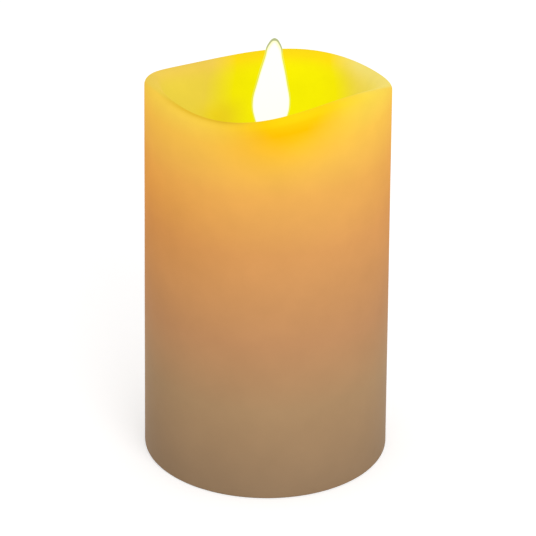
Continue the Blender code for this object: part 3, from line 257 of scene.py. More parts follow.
def arc(centre, radius, start, end, steps=ARC_ROWS):
    """Points on an arc, with angles in degrees from the first axis."""
    points = []
    for step in range(steps + 1):
        angle = math.radians(start + (end - start) * step / steps)
        points.append((centre[0] + radius * math.cos(angle), centre[1] + radius * math.sin(angle)))
    return points


def smooth_step(low, high, value):
    """0 below low, 1 above high and a smooth slope between."""
    share = min(max((value - low) / (high - low), 0.0), 1.0)
    return share * share * (3 - 2 * share)


def bell(offset, width):
    """1 at no offset, falling away to both sides."""
    return math.exp(-(offset / width) ** 2)


def ring_angles(steps):
    """Even angles round a circle."""
    return [2 * math.pi * step / steps for step in range(steps)]


def bridge(shape, first, second):
    """Join two rings of vertices with faces, where one of them may be a single vertex."""
    steps = max(len(first), len(second))
    for step in range(steps):
        after = (step + 1) % steps
        corners = (first[step % len(first)], first[after % len(first)],
                   second[after % len(second)], second[step % len(second)])
        shape.faces.new(list(dict.fromkeys(corners)))


def turned(profile, steps=ROUND_STEPS, closed=False):
    """A shape turned round Z from (radius, height) points, where a radius of 0 closes it."""
    shape = bmesh.new()
    rings = []
    for radius, height in profile:
        angles = ring_angles(steps if radius else 1)
        rings.append([shape.verts.new((radius * math.sin(a), -radius * math.cos(a), height)) for a in angles])
    followers = rings[1:] + rings[:1] if closed else rings[1:]
    for upper, lower in zip(rings, followers):
        bridge(shape, upper, lower)
    return shape


def wire(points, radius, sides=WIRE_SIDES):
    """A round wire along a line of points."""
    shape = bmesh.new()
    rings = []
    ahead = (points[1] - points[0]).normalized()
    side = ahead.orthogonal().normalized()
    for index, point in enumerate(points):
        after = points[min(index + 1, len(points) - 1)]
        ahead = (after - points[max(index - 1, 0)]).normalized()
        side = (side - ahead * side.dot(ahead)).normalized()
        up = ahead.cross(side)
        spots = [point + radius * (side * math.cos(a) + up * math.sin(a)) for a in ring_angles(sides)]
        rings.append([shape.verts.new(spot) for spot in spots])
    for first, second in zip(rings, rings[1:]):
        bridge(shape, first, second)
    for end in (rings[0], rings[-1]):
        shape.faces.new(end)
    return shape


def welded(node):
    """A solid's own shape, with its flat faces joined up."""
    shape = bmesh.new()
    shape.from_mesh(frame["nodes"][node].data)
    bmesh.ops.remove_doubles(shape, verts=shape.verts, dist=WELD)
    bmesh.ops.dissolve_limit(shape, angle_limit=FLAT, verts=shape.verts, edges=shape.edges)
    return shape


def soften(shape, width=SOFT_EDGE):
    """Round a shape's hard edges."""
    hard = [edge for edge in shape.edges if edge.is_manifold and edge.calc_face_angle() > SHARP]
    bmesh.ops.bevel(shape, geom=hard, offset=width, segments=2, profile=0.5, affect="EDGES",
                    clamp_overlap=True)
    return shape


def softened(node, width=SOFT_EDGE):
    """A solid's own shape with its hard edges rounded."""
    return soften(welded(node), width)


def extent(node):
    """A solid's low corner, its high corner and the middle between them."""
    low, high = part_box(node)
    return low, high, (low + high) / 2


def add_shape(shape, other, place=Matrix.Identity(4)):
    """Add another shape to a shape, at a place."""
    mesh = bpy.data.meshes.new("added")
    other.to_mesh(mesh)
    other.free()
    mesh.transform(place)
    shape.from_mesh(mesh)
    bpy.data.meshes.remove(mesh)


def add_rib(shape, centre, half, radius):
    """Add a round grip rib to a shape, with half its length to each side of a centre."""
    add_shape(shape, wire([centre - half, centre + half], radius))


def mesh_from(shape):
    """A smooth mesh with crisp hard edges."""
    bmesh.ops.recalc_face_normals(shape, faces=shape.faces)
    mesh = bpy.data.meshes.new("shape")
    shape.to_mesh(mesh)
    shape.free()
    mesh.shade_smooth()
    mesh.set_sharp_from_angle(angle=SHARP)
    return mesh


def cross_tool(arm, half, deep, above):
    """A tapered cross that cuts a recess down from z = 0."""
    wide, narrow = 1.15, 0.7
    corners = [(half, arm), (half, half), (arm, half)]
    for quarter in range(3):
        corners += [(y, -x) for x, y in corners[-3:]]
    tool = bmesh.new()
    rings = [[tool.verts.new((x * scale, y * scale, z)) for x, y in corners]
             for scale, z in ((wide, above), (narrow, -deep))]
    bridge(tool, *rings)
    for ring in rings:
        tool.faces.new(ring)
    return tool


def add_object(name, data):
    """A new object in the scene."""
    thing = bpy.data.objects.new(name, data)
    bpy.context.scene.collection.objects.link(thing)
    return thing


def cut(mesh, tool):
    """Cut a tool's shape out of a mesh."""
    cutter = add_object("cutter", mesh_from(tool))
    blank = add_object("blank", mesh)
    step = blank.modifiers.new("Cut", "BOOLEAN")
    step.object = cutter
    bpy.context.view_layer.update()
    result = bpy.data.meshes.new_from_object(blank.evaluated_get(bpy.context.evaluated_depsgraph_get()))
    for thing in (cutter, blank):
        bpy.data.objects.remove(thing)
    result.set_sharp_from_angle(angle=SHARP)
    return result


def set_mask(mesh, name, values):
    """Store one value a vertex, for a material to read."""
    mask = mesh.attributes.new(name, "FLOAT", "POINT")
    mask.data.foreach_set("value", values)


def show(name, mesh, material, body="candle", node=None):
    """Put a piece in the scene: it rides on a body and may stand for a solid."""
    mesh.name = name
    mesh.materials.clear()
    mesh.materials.append(material)
    piece = add_object(name, mesh)
    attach(piece, body)
    if node:
        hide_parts(node)


# Node helpers

def set_inputs(tree, node, values):
    """Set a node's inputs, each to a plain value or to a link from another node's output."""
    for name, value in values.items():
        if isinstance(value, bpy.types.NodeSocket):
            tree.links.new(value, node.inputs[name])
        else:
            node.inputs[name].default_value = value


def add_node(tree, kind, values=None, **settings):
    """A node with its settings and its inputs."""
    node = tree.nodes.new(kind)
    for key, value in settings.items():
        setattr(node, key, value)
    set_inputs(tree, node, values or {})
    return node


def source_of(socket):
    """The output that feeds an input."""
    return socket.links[0].from_socket


def mix(tree, share, first, second, mode="MIX"):
    """Blend two colours."""
    values = {0: share, 6: first, 7: second}
    return add_node(tree, "ShaderNodeMix", values, data_type="RGBA", blend_type=mode).outputs[2]


def multiply(tree, first, second):
    """Multiply two colours."""
    return mix(tree, 1.0, first, second, "MULTIPLY")


def mask_of(tree, name):
    """A value stored on the mesh's vertices."""
    return add_node(tree, "ShaderNodeAttribute", attribute_name=name).outputs["Fac"]


def object_place(tree):
    """Where a spot lies on its own object, in metres."""
    return add_node(tree, "ShaderNodeTexCoord").outputs["Object"]


def opaque(colour):
    """A colour with full alpha."""
    return (*colour, 1.0)


def ramp(tree, factor, stops):
    """A colour from a few stops."""
    node = add_node(tree, "ShaderNodeValToRGB", {"Fac": factor})
    elements = node.color_ramp.elements
    elements.remove(elements[1])
    elements[0].position = stops[0][0]
    elements[0].color = opaque(stops[0][1])
    for position, colour in stops[1:]:
        elements.new(position).color = opaque(colour)
    return node.outputs["Color"]


def shades(tree, factor, dark, light):
    """A grey from dark to light over the middle of a noise."""
    return ramp(tree, factor, [(0.3, (dark,) * 3), (0.7, (light,) * 3)])


def shader_of(material):
    """A material's Principled shader."""
    return material.node_tree.nodes["Principled BSDF"]


def new_material(name, roughness, metallic=0.0):
    """A material with a Principled shader."""
    material = bpy.data.materials.new(name)
    material.use_nodes = True
    shader = shader_of(material)
    set_inputs(material.node_tree, shader, {"Roughness": roughness, "Metallic": metallic})
    return material, material.node_tree, shader


# Finishes: colour, roughness, metallic, fineness of the grain, relief, stretch of the grain, colour of a band
EVEN = (1.0, 1.0, 1.0)
STREAKS_UP = (1.0, 1.0, 0.06)
STREAKS_ACROSS = (0.06, 1.0, 1.0)
FINISHES = {
    "white_plastic": ("white_plastic", 0.45),
    "black_plastic": ("black_plastic", 0.40),
    "board_parts": ("black_plastic", 0.40),
    "steel": ("steel", 0.26, 1.0, 1600.0, 0.04, STREAKS_UP),
    "contact": ("contact", 0.28, 1.0, 1400.0, 0.04, STREAKS_ACROSS),
    "magnet": ("magnet", 0.20, 1.0, 700.0, 0.03),
    "copper": ("copper", 0.32, 1.0, 1200.0, 0.05, STREAKS_UP),
    "board": ("board", 0.38, 0.0, 1500.0, 0.05),
    "cell": ("jacket", 0.30, 0.0, 500.0, 0.03, EVEN, "collar"),
    "lens": ("lens", 0.15, 0.0, 500.0, 0.02),
    "red_lead": ("red", 0.42, 0.0, 1200.0, 0.04),
    "black_lead": ("black", 0.42, 0.0, 1200.0, 0.04),
    "yellow_lead": ("yellow", 0.42, 0.0, 1200.0, 0.04),
}


def make_grain_group():
    """A node group that all finishes share: a tone, a wear mask and a fine height over the surface."""
    group = bpy.data.node_groups.new("surface_grain", "ShaderNodeTree")
    for name, kind, value in (("Grain", "NodeSocketFloat", 900.0), ("Stretch", "NodeSocketVector", EVEN)):
        group.interface.new_socket(name, in_out="INPUT", socket_type=kind).default_value = value
    results = (("Tone", "NodeSocketColor"), ("Wear", "NodeSocketFloat"), ("Height", "NodeSocketFloat"))
    for name, kind in results:
        group.interface.new_socket(name, in_out="OUTPUT", socket_type=kind)
    entry = add_node(group, "NodeGroupInput").outputs
    place = object_place(group)
    stretch = add_node(group, "ShaderNodeVectorMath", {0: place, 1: entry["Stretch"]}, operation="MULTIPLY")
    along = stretch.outputs[0]
    cloud = add_node(group, "ShaderNodeTexNoise", {"Vector": along, "Scale": 130.0, "Detail": 4.0})
    fine = add_node(group, "ShaderNodeTexNoise", {"Vector": along, "Scale": entry["Grain"], "Detail": 2.0})
    scuff = add_node(group, "ShaderNodeTexNoise",
                     {"Vector": place, "Scale": 260.0, "Detail": 6.0, "Roughness": 0.7})
    wear = add_node(group, "ShaderNodeMapRange",
                    {"Value": scuff.outputs["Fac"], "From Min": 0.56, "From Max": 0.70})
    add_node(group, "NodeGroupOutput", {
        "Tone": shades(group, cloud.outputs["Fac"], 0.96, 1.0),
        "Wear": wear.outputs["Result"],
        "Height": fine.outputs["Fac"],
    })
    return group


def roughen(tree, shader, grain, relief, stretch=EVEN, scuff=0.18, normal=None):
    """Give a shader scuffs in its gloss and a fine relief, and return the tone that goes with them."""
    group = bpy.data.node_groups.get("surface_grain") or make_grain_group()
    surface = add_node(tree, "ShaderNodeGroup", {"Grain": grain, "Stretch": stretch}, node_tree=group).outputs
    smooth = shader.inputs["Roughness"].default_value
    gloss = add_node(tree, "ShaderNodeMapRange",
                     {"Value": surface["Wear"], "To Min": smooth, "To Max": smooth + scuff})
    bump = add_node(tree, "ShaderNodeBump",
                    {"Height": surface["Height"], "Strength": relief, "Distance": 0.0002})
    if normal is not None:
        set_inputs(tree, bump, {"Normal": normal})
    set_inputs(tree, shader, {"Roughness": gloss.outputs["Result"], "Normal": bump.outputs["Normal"]})
    return surface["Tone"]


def finish(name, colours, base, roughness, metallic=0.0, grain=900.0, relief=0.06, stretch=EVEN, band=None):
    """A plastic, metal or lacquer with mottle, scuffs and grain, and a collar in the colour of its band."""
    material, tree, shader = new_material(name, roughness, metallic)
    tone = roughen(tree, shader, grain, relief, stretch)
    colour = opaque(getattr(colours, base))
    if band:
        colour = mix(tree, mask_of(tree, "collar"), colour, opaque(getattr(colours, band)))
    set_inputs(tree, shader, {"Base Color": multiply(tree, colour, tone)})
    return material


def repaint(material, share, colour):
    """Lay another colour over a finish, where a share is set."""
    tree = material.node_tree
    shader = shader_of(material)
    ground = source_of(shader.inputs["Base Color"])
    set_inputs(tree, shader, {"Base Color": mix(tree, share, ground, opaque(colour))})


def bare_metal(material, steel):
    """Show bare metal on a finish where the metal mask is set."""
    metal = mask_of(material.node_tree, "metal")
    repaint(material, metal, steel)
    set_inputs(material.node_tree, shader_of(material), {"Metallic": metal})


def draw_traces(material, colour):
    """Draw angular traces under a board's lacquer."""
    tree = material.node_tree
    face_on = add_node(tree, "ShaderNodeMapping",
                       {"Vector": object_place(tree), "Rotation": (math.pi / 2, 0.0, 0.0)})
    loops = add_node(tree, "ShaderNodeTexVoronoi", {"Vector": face_on.outputs["Vector"], "Scale": 170.0},
                     voronoi_dimensions="2D", distance="CHEBYCHEV")
    fold = add_node(tree, "ShaderNodeMath", {0: loops.outputs["Distance"], 1: 0.085}, operation="PINGPONG")
    traces = add_node(tree, "ShaderNodeMapRange",
                      {"Value": fold.outputs[0], "From Min": 0.052, "From Max": 0.058})
    repaint(material, traces.outputs["Result"], colour)


def light_up(material, strength=0.8):
    """Let a finish give off light of its own colour."""
    shader = shader_of(material)
    colour = source_of(shader.inputs["Base Color"])
    set_inputs(material.node_tree, shader, {"Emission Color": colour, "Emission Strength": strength})


def shared(name):
    """The finish of that name, made once."""
    label = name + "_finish"
    made = bpy.data.materials.get(label)
    if made:
        return made
    colours = bpy.context.scene.candle.finish
    material = finish(label, colours, *FINISHES[name])
    if name == "board":
        draw_traces(material, colours.trace)
    elif name == "lens":
        light_up(material)
    elif name in ("board_parts", "cell"):
        bare_metal(material, colours.steel)
    return material


def stand_in(node, ending, mesh, slot, body="candle", look=None):
    """Show a mesh in the place of a solid, in the finish of its slot or in another look."""
    show(f"{node}_{ending}", mesh, shared(look or slot), body, node)


def dress(node, slot, body="candle", width=SOFT_EDGE):
    """Show a solid with softened edges in the finish of its slot."""
    stand_in(node, "dressed", mesh_from(softened(node, width)), slot, body)


# The wax

def rim_wave(shape, turn):
    """How far the rim stands above its mean at a turn from the front, towards +X."""
    return (shape.tilt * math.cos(turn - shape.tilt_towards)
            + shape.swell * math.cos(2 * (turn - shape.swell_towards))
            + shape.ripple * math.cos(3 * (turn - shape.ripple_towards)))


def wax_rows(shape):
    """The wall as (radius, height, zone) rows: down the outside, round the cavity and up the bowl."""
    floor = COLLAR_TOP + shape.floor_gap
    rim = floor + shape.bowl_depth
    cavity = CANDLE_RADIUS - shape.wall
    edge = CANDLE_RADIUS - shape.outer_round
    wall_top = rim - shape.outer_round
    wall_drop = wall_top - shape.foot_round
    rows = [(*point, CREST) for point in arc((edge, wall_top), shape.outer_round, 90, 0)[:-1]]
    rows += [(CANDLE_RADIUS, wall_top - wall_drop * step / WALL_ROWS, OUTSIDE) for step in range(WALL_ROWS)]
    foot_centre = (CANDLE_RADIUS - shape.foot_round, shape.foot_round)
    rows += [(*point, OUTSIDE) for point in arc(foot_centre, shape.foot_round, 0, -90)]
    crown = floor - shape.bowl_thickness
    wall_end = crown + shape.roof_rise
    rows += [(cavity, wall_end * step / CAVITY_ROWS, CAVITY) for step in range(CAVITY_ROWS)]
    for step in range(CAVITY_ROWS + 1):
        share = 1 - step / CAVITY_ROWS
        rows.append((shape.hole_radius + (cavity - shape.hole_radius) * share,
                     crown + shape.roof_rise * share ** 2, CAVITY))
    lip = arc((edge - shape.land, rim - shape.inner_round), shape.inner_round,
              90 + math.degrees(shape.slope), 90)
    bowl_width = lip[0][0] - shape.hole_radius
    bowl_height = lip[0][1] - floor
    power = math.tan(shape.slope) * bowl_width / bowl_height
    for step in range(BOWL_ROWS):
        share = step / BOWL_ROWS
        rows.append((shape.hole_radius + bowl_width * share, floor + bowl_height * share ** power, BOWL))
    return rows + [(*point, CREST) for point in lip]


def build_wax_mesh(shape):
    """The wax shell, with the zone of each of its vertices."""
    dips_round, dips_up = 2.2, 30
    floor = COLLAR_TOP + shape.floor_gap
    crest = shape.bowl_depth - shape.outer_round
    rows = wax_rows(shape)
    wax = turned([row[:2] for row in rows], WAX_STEPS, closed=True)
    zones = [row[2] for row in rows for step in range(WAX_STEPS)]
    for vertex, zone in zip(wax.verts, zones):
        turn = math.atan2(vertex.co.x, -vertex.co.y)
        share = min(max((vertex.co.z - floor) / crest, 0.0), 1.0)
        vertex.co.z += share * rim_wave(shape, turn)
        if zone == OUTSIDE:
            spot = Vector((dips_round * math.sin(turn), dips_round * math.cos(turn), dips_up * vertex.co.z))
            dip = shape.unevenness * (0.5 + 0.5 * noise.noise(spot))
            vertex.co.xy *= 1 - dip / CANDLE_RADIUS
    return mesh_from(wax), zones


def turn_from(turn, middle):
    """How far a turn lies from a middle, the short way round."""
    return math.remainder(turn - middle, 2 * math.pi)


def bowl_share(zone, front, inward):
    """How far the bowl's colour, with its painted light, covers a spot. On the crest it starts further in at
    the front.
    """
    start_behind, shift_in_front, front_span, blend = -0.0032, 0.0037, (0.30, 0.95), 0.0010
    if zone != CREST:
        return float(zone == BOWL)
    start = shift_in_front * smooth_step(*front_span, front) + start_behind
    return smooth_step(start, start + blend, inward)


def wall_painted_light(zone, turn, z, depth, bowl):
    """The wall's painted pool of light in front of the lamp, its painted shade away from the lamp, and the
    shares of painted glow that it gives off and of colour that takes real light.
    """
    lobe_turn, hot_turn, hot_width = (math.radians(degrees) for degrees in (25, 11, 26))
    hot_depth, hot_gain = 0.013, 1.25
    tint_climb, tint_fade, tint_most = (0.035, 0.100), (0.096, 0.114), 0.55
    glow_climb, glow_share, top_climb, top_share = (0.020, 0.105), 0.62, (0.095, 0.120), 0.12
    even_glow, lobe_glow, bowl_lit, bowl_plain = 0.95, 0.08, 0.70, 0.33
    # The side that faces the lamp gets a stronger painted glow and less painted shade
    facing = math.cos(turn - lobe_turn)
    hot = min(hot_gain * bell(turn_from(turn, hot_turn), hot_width) * bell(depth, hot_depth), 1.0)
    tint = min(0.5 - 0.5 * facing, tint_most) * smooth_step(*tint_climb, z)
    glow = glow_share * smooth_step(*glow_climb, z) + top_share * smooth_step(*top_climb, z)
    return {
        "hot": hot * (zone in (OUTSIDE, CREST)),
        "away": tint * (1 - 0.5 * smooth_step(*tint_fade, z)),
        "lit": glow * (even_glow + lobe_glow * facing) * (1 - bowl) + bowl_lit * bowl,
        "plain": (1 - glow) * (1 - bowl) + bowl_plain * bowl,
    }


def bowl_painted_light(x, y, depth, front):
    """How far the bowl lies from the lamp's beam, for its painted pool of light, and its painted light and
    shade at the crest, its painted shade low down and its painted light at the side.
    """
    beam_x, front_squeeze, rim_reach, rim_depth = 0.005, 0.35, 0.05, 0.005
    crest_depth, crest_front = 0.0026, (0.5, 0.9)
    low_depths, low_x, low_width, low_behind = (0.0075, 0.0125), -0.015, 0.006, (0.0, 0.012)
    side_span = (0.022, 0.036)
    off_beam = math.hypot(x - beam_x, front_squeeze * min(y, 0.0)) / CANDLE_RADIUS
    return {
        "reach": off_beam + rim_reach * bell(depth, rim_depth),
        "crest": bell(depth, crest_depth) * (1 - smooth_step(*crest_front, front)),
        "low": smooth_step(*low_depths, depth) * bell(x - low_x, low_width) * smooth_step(*low_behind, y),
        "side": smooth_step(*side_span, x),
    }


def lip_painted_light(zone, x, turn, depth, front, inward, bowl):
    """The painted line along the lip, shade on the left and highlight on the right, and the painted glow of
    the bowl through it.
    """
    left_span, left_front, right_span, right_share = (0.002, 0.014), (0.60, 0.90), (0.026, 0.036), 0.5
    line_middle, line_width = 0.0007, 0.0015
    leak_turn, leak_width, leak_depth = math.radians(16), math.radians(27), 0.0024
    sides = smooth_step(*left_span, -x) * smooth_step(*left_front, front)
    sides += right_share * smooth_step(*right_span, x)
    return {
        "line": (zone == CREST) * bell(inward - line_middle, line_width) * front * sides,
        "painted_lip_glow": (1 - bowl) * bell(turn_from(turn, leak_turn), leak_width) * bell(depth, leak_depth),
    }


def wax_painted_light(spot, zone, shape):
    """How the lamp inside lights a spot of the wax, as a value for each mask that paints that light and
    shade.
    """
    x, y, z = spot
    turn = math.atan2(x, -y)
    front = (1 + math.cos(turn)) / 2
    depth = COLLAR_TOP + shape.floor_gap + shape.bowl_depth + rim_wave(shape, turn) - z
    inward = CANDLE_RADIUS - shape.outer_round - math.hypot(x, y)
    bowl = bowl_share(zone, front, inward)
    return {
        "height": z / CANDLE_TOP,
        "across": 0.5 + 0.5 * x / CANDLE_RADIUS,
        "bowl": bowl,
        **wall_painted_light(zone, turn, z, depth, bowl),
        **bowl_painted_light(x, y, depth, front),
        **lip_painted_light(zone, x, turn, depth, front, inward, bowl),
    }


def mask_wax_painted_light(mesh, zones, shape):
    """Store how the lamp inside lights each part of the wax, as masks for its painted light and shade."""
    light = [wax_painted_light(vertex.co, zone, shape) for vertex, zone in zip(mesh.vertices, zones)]
    for name in light[0]:
        set_mask(mesh, name, [masks[name] for masks in light])


def wax_colour(tree, glow):
    """The wax's colours with the lamp's light and shade painted in, laid over each other by its masks."""
    def lay(ground, mask, colour, mode="MIX"):
        """Lay a colour over another where a mask is set."""
        return mix(tree, mask_of(tree, mask), ground, colour, mode)

    across = mask_of(tree, "across")
    # The wall's colour by height is painted glow of the lamp inside, tan at the foot and amber and yellow
    # towards the rim
    heights = ((0.004, glow.foot), (0.031, glow.low), (0.054, glow.middle), (0.085, glow.warm),
               (0.105, glow.amber), (0.121, glow.shoulder), (0.134, glow.rim))
    wall = ramp(tree, mask_of(tree, "height"), [(height / CANDLE_TOP, colour) for height, colour in heights])
    # Painted shade on the side of the wall away from the lamp
    wall = lay(wall, "away", opaque(glow.away), "MULTIPLY")
    # A painted pool of the lamp's light on the wall in front of it
    wall = lay(wall, "hot", ramp(tree, across, [(0.40, glow.painted_hot_left), (0.64, glow.painted_hot_right)]))
    # A painted glow where the bowl's light shines through the lip
    wall = lay(wall, "painted_lip_glow", opaque(glow.lip_glow))
    # A painted pool of the lamp's light in the bowl, with painted light under the high side of the rim
    bowl = ramp(tree, mask_of(tree, "reach"), [
        (0.28, glow.bowl_near), (0.42, glow.bowl_edge), (0.52, glow.bowl_middle), (0.66, glow.bowl_far)])
    bowl = lay(bowl, "side", opaque(glow.bowl_side_painted_light))
    # Painted shade low on the bowl's left
    bowl = lay(bowl, "low", opaque(glow.bowl_painted_shade))
    # Painted light and shade along the crest of the rim
    bowl = lay(bowl, "crest", ramp(tree, across, [
        (0.27, glow.crest_painted_shade), (0.37, glow.crest_painted_beam), (0.75, glow.crest_painted_beam), (0.86, glow.crest_painted_highlight)]))
    colour = lay(wall, "bowl", bowl)
    # A painted line along the lip, painted shade on the left and a painted highlight on the right
    return lay(colour, "line", ramp(tree, across, [(0.45, glow.lip_painted_shade), (0.60, glow.lip_painted_highlight)]))


def wax_material(glow):
    """Wax that is tan at the foot with a painted amber and yellow glow at the top, and duller where that glow
    is painted.
    """
    material, tree, shader = new_material("wax_painted_glow", 0.55)
    cloud = add_node(tree, "ShaderNodeTexNoise", {
        "Vector": object_place(tree), "Scale": 55.0, "Detail": 4.0, "Roughness": 0.6}).outputs["Fac"]
    colour = multiply(tree, wax_colour(tree, glow), shades(tree, cloud, 0.96, 1.03))
    swell = add_node(tree, "ShaderNodeBump", {"Height": cloud, "Strength": 0.05, "Distance": 0.001})
    roughen(tree, shader, 700.0, 0.05, scuff=0.10, normal=swell.outputs["Normal"])
    lit = mask_of(tree, "lit")
    gloss = source_of(shader.inputs["Roughness"])
    dull = add_node(tree, "ShaderNodeMath", {0: lit, 1: 0.55, 2: gloss}, operation="MULTIPLY_ADD")
    # The glow is painted: emission in the wax's own colours where the lit mask is set, and less colour that
    # takes real light there
    set_inputs(tree, shader, {
        "Base Color": multiply(tree, colour, mask_of(tree, "plain")),
        "Emission Color": multiply(tree, colour, lit),
        "Emission Strength": 1.0,
        "Specular IOR Level": 0.05,
        "Roughness": dull.outputs[0],
    })
    return material


class WaxShell(bpy.types.Operator):
    """Cast the wax shell with its wavy rim and the lamp's glow painted on its bowl and wall"""

    bl_idname = "candle.wax_shell"
    bl_label = "Wax shell"

    def execute(self, context):
        settings = context.scene.candle
        mesh, zones = build_wax_mesh(settings.wax)
        mask_wax_painted_light(mesh, zones, settings.wax)
        show("wax_shell_cast", mesh, wax_material(settings.glow), "candle", "wax_shell")
        return {"FINISHED"}


# The flame

def flame_outline():
    """One side of the flame from its tip to its tail, from its solid: half width and height on its own axis.

    A step gets a slight slope, because a face there would have no height.
    """
    points = [vertex.co - PIVOT for vertex in frame["nodes"]["flame_paddle"].data.vertices]
    tip = max(points, key=lambda point: math.hypot(point.x, point.z))
    lean = math.atan2(tip.x, tip.z)
    upright = Matrix.Rotation(-lean, 3, "Y")
    decimals = 6
    side = set()
    for point in points:
        flat = upright @ point
        if math.hypot(flat.x, flat.z) > EYE_REACH and flat.x > -WELD:
            side.add((round(flat.z, decimals), round(max(flat.x, 0.0), decimals)))
    rows = []
    for height, width in sorted(side, key=lambda row: (-row[0], row[1])):
        is_step = rows and rows[-1][1] - height < WELD
        rows.append((width, height - SOFT_EDGE if is_step else height))
    return rows, lean


def finer(rows, steps=3):
    """Rows with more points on a smooth curve through them, above the pivot."""
    fine = []
    for index in range(len(rows) - 1):
        here, after = Vector(rows[index]), Vector(rows[index + 1])
        before = Vector(rows[index - 1]) if index else Vector((-after.x, after.y))
        beyond = Vector(rows[min(index + 2, len(rows) - 1)])
        count = steps if after.y > 0 else 1
        for step in range(count):
            t = step / count
            point = 0.5 * (2 * here + (after - before) * t
                           + (2 * before - 5 * here + 4 * after - beyond) * t ** 2
                           + (3 * here - before - 3 * after + beyond) * t ** 3)
            fine.append((max(point.x, 0.0), point.y))
    return fine + [rows[-1]]


def build_flame_mesh():
    """The flame as a lens-edged blade on a flat stem, upright about its pivot, with its rows and its lean."""
    outline, lean = flame_outline()
    rows = finer(outline)
    blade = bmesh.new()
    loops = []
    for width, height in rows[1:]:
        front, back = [], []
        for column in range(FLAME_COLUMNS + 1):
            x = -width * math.cos(math.pi * column / FLAME_COLUMNS)
            inset = min((width - abs(x)) / FLAME_ROUND, 1.0)
            y = FLAME_HALF_THICKNESS * math.sqrt(max(1 - (1 - inset) ** 2, 0.0))
            front.append((x, -y, height))
            back.append((x, y, height))
        loops.append([blade.verts.new(point) for point in front + back[-2:0:-1]])
    for upper, lower in zip(loops, loops[1:]):
        bridge(blade, upper, lower)
    tip = blade.verts.new((0.0, 0.0, rows[0][1]))
    bridge(blade, [tip], loops[0])
    blade.faces.new(loops[-1])
    return mesh_from(blade), rows, lean


def mask_flame(mesh, rows):
    """Store how far inside the flame's edge each vertex lies, and how near its tip."""
    edge_width, tip_low, tip_high = 0.0016, 0.0052, 0.0024
    top = rows[0][1]
    rim = [Vector(row) for row in rows]
    inside, tip = [], []
    for vertex in mesh.vertices:
        flat = Vector((abs(vertex.co.x), vertex.co.z))
        inside.append(min(min((flat - point).length for point in rim) / edge_width, 1.0))
        tip.append(smooth_step(top - tip_low, top - tip_high, vertex.co.z))
    set_mask(mesh, "inside", inside)
    set_mask(mesh, "tip", tip)


def flame_material(glow):
    """Frosted plastic with a painted white glow, and a pale painted edge that is clear at the tip."""
    material, tree, shader = new_material("lit_flame", 0.42)
    inside = mask_of(tree, "inside")
    side = ramp(tree, inside, [
        (0.0, glow.flame_edge), (0.22, glow.flame_edge), (0.30, glow.flame_glow), (0.52, glow.flame)])
    tip = ramp(tree, inside, [
        (0.0, glow.flame_tip), (0.18, glow.flame_tip), (0.30, glow.flame_glow), (0.85, glow.flame)])
    colour = mix(tree, mask_of(tree, "tip"), side, tip)
    tone = roughen(tree, shader, 1100.0, 0.06, scuff=0.12)
    frost = multiply(tree, colour, (0.12, 0.12, 0.12, 1.0))
    # The glow is painted as emission, and only a dim frost takes real light
    set_inputs(tree, shader, {
        "Base Color": multiply(tree, frost, tone),
        "Emission Color": colour,
        "Emission Strength": 0.92,
    })
    return material


class Flame(bpy.types.Operator):
    """Mould the flame that hangs on the pivot wire"""

    bl_idname = "candle.flame"
    bl_label = "Flame"

    def execute(self, context):
        mesh, rows, lean = build_flame_mesh()
        through = Vector((0.0, 2 * FLAME_HALF_THICKNESS, 0.0))
        mesh = cut(mesh, wire([-through, through], EYE_RADIUS, ROUND_STEPS))
        mask_flame(mesh, rows)
        mesh.transform(Matrix.Translation(PIVOT) @ Matrix.Rotation(lean, 4, "Y"))
        show("flame_blade", mesh, flame_material(context.scene.candle.glow), "flame", "flame_paddle")
        return {"FINISHED"}


# The pieces inside and underneath

def half_mesh(node):
    """A half of the housing, drawn up to the other half so that they meet at a fine parting line."""
    reach, line = 0.0003, 0.00001
    half = welded(node)
    for vertex in half.verts:
        if abs(vertex.co.x) < reach:
            vertex.co.x = math.copysign(line, vertex.co.x)
    soften(half)
    bmesh.ops.dissolve_degenerate(half, dist=line / 10, edges=half.edges)
    return mesh_from(half)


class Plastics(bpy.types.Operator):
    """Mould the base plate, the battery case, the coil's bobbin and the mechanism housing"""

    bl_idname = "candle.plastics"
    bl_label = "Base, case and housing"

    def execute(self, context):
        for node in ("base_plate", "battery_case", "coil_bobbin"):
            dress(node, "white_plastic")
        for node in ("mechanism_housing_left", "mechanism_housing_right"):
            stand_in(node, "moulded", half_mesh(node), "black_plastic")
        return {"FINISHED"}


class BatteryDoor(bpy.types.Operator):
    """Mould the battery door with its grip ribs"""

    bl_idname = "candle.battery_door"
    bl_label = "Battery door"

    def execute(self, context):
        ribs, inset, pitch, half, radius = 5, 0.0045, 0.0014, 0.0055, 0.0004
        low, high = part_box("battery_door")
        door = softened("battery_door")
        for number in range(ribs):
            centre = Vector((0.0, high.y - inset - pitch * number, low.z))
            add_rib(door, centre, Vector((half, 0.0, 0.0)), radius)
        stand_in("battery_door", "moulded", mesh_from(door), "white_plastic", "door")
        return {"FINISHED"}


def spring_mesh(node, foot_down, wire_radius=0.00035, tip_radius=0.0028, turns=4):
    """A conical battery spring in the place of its solid, wide at its foot."""
    low, high, middle = extent(node)
    foot_radius = (high.x - low.x) / 2 - wire_radius
    first, last = low.z + wire_radius, high.z - wire_radius
    if not foot_down:
        first, last = last, first
    points = []
    for step in range(turns * TURN_POINTS + 1):
        share = step / (turns * TURN_POINTS)
        angle = 2 * math.pi * turns * share
        radius = foot_radius + (tip_radius - foot_radius) * share
        points.append(Vector((middle.x + radius * math.cos(angle), radius * math.sin(angle),
                              first + (last - first) * share)))
    return mesh_from(wire(points, wire_radius))


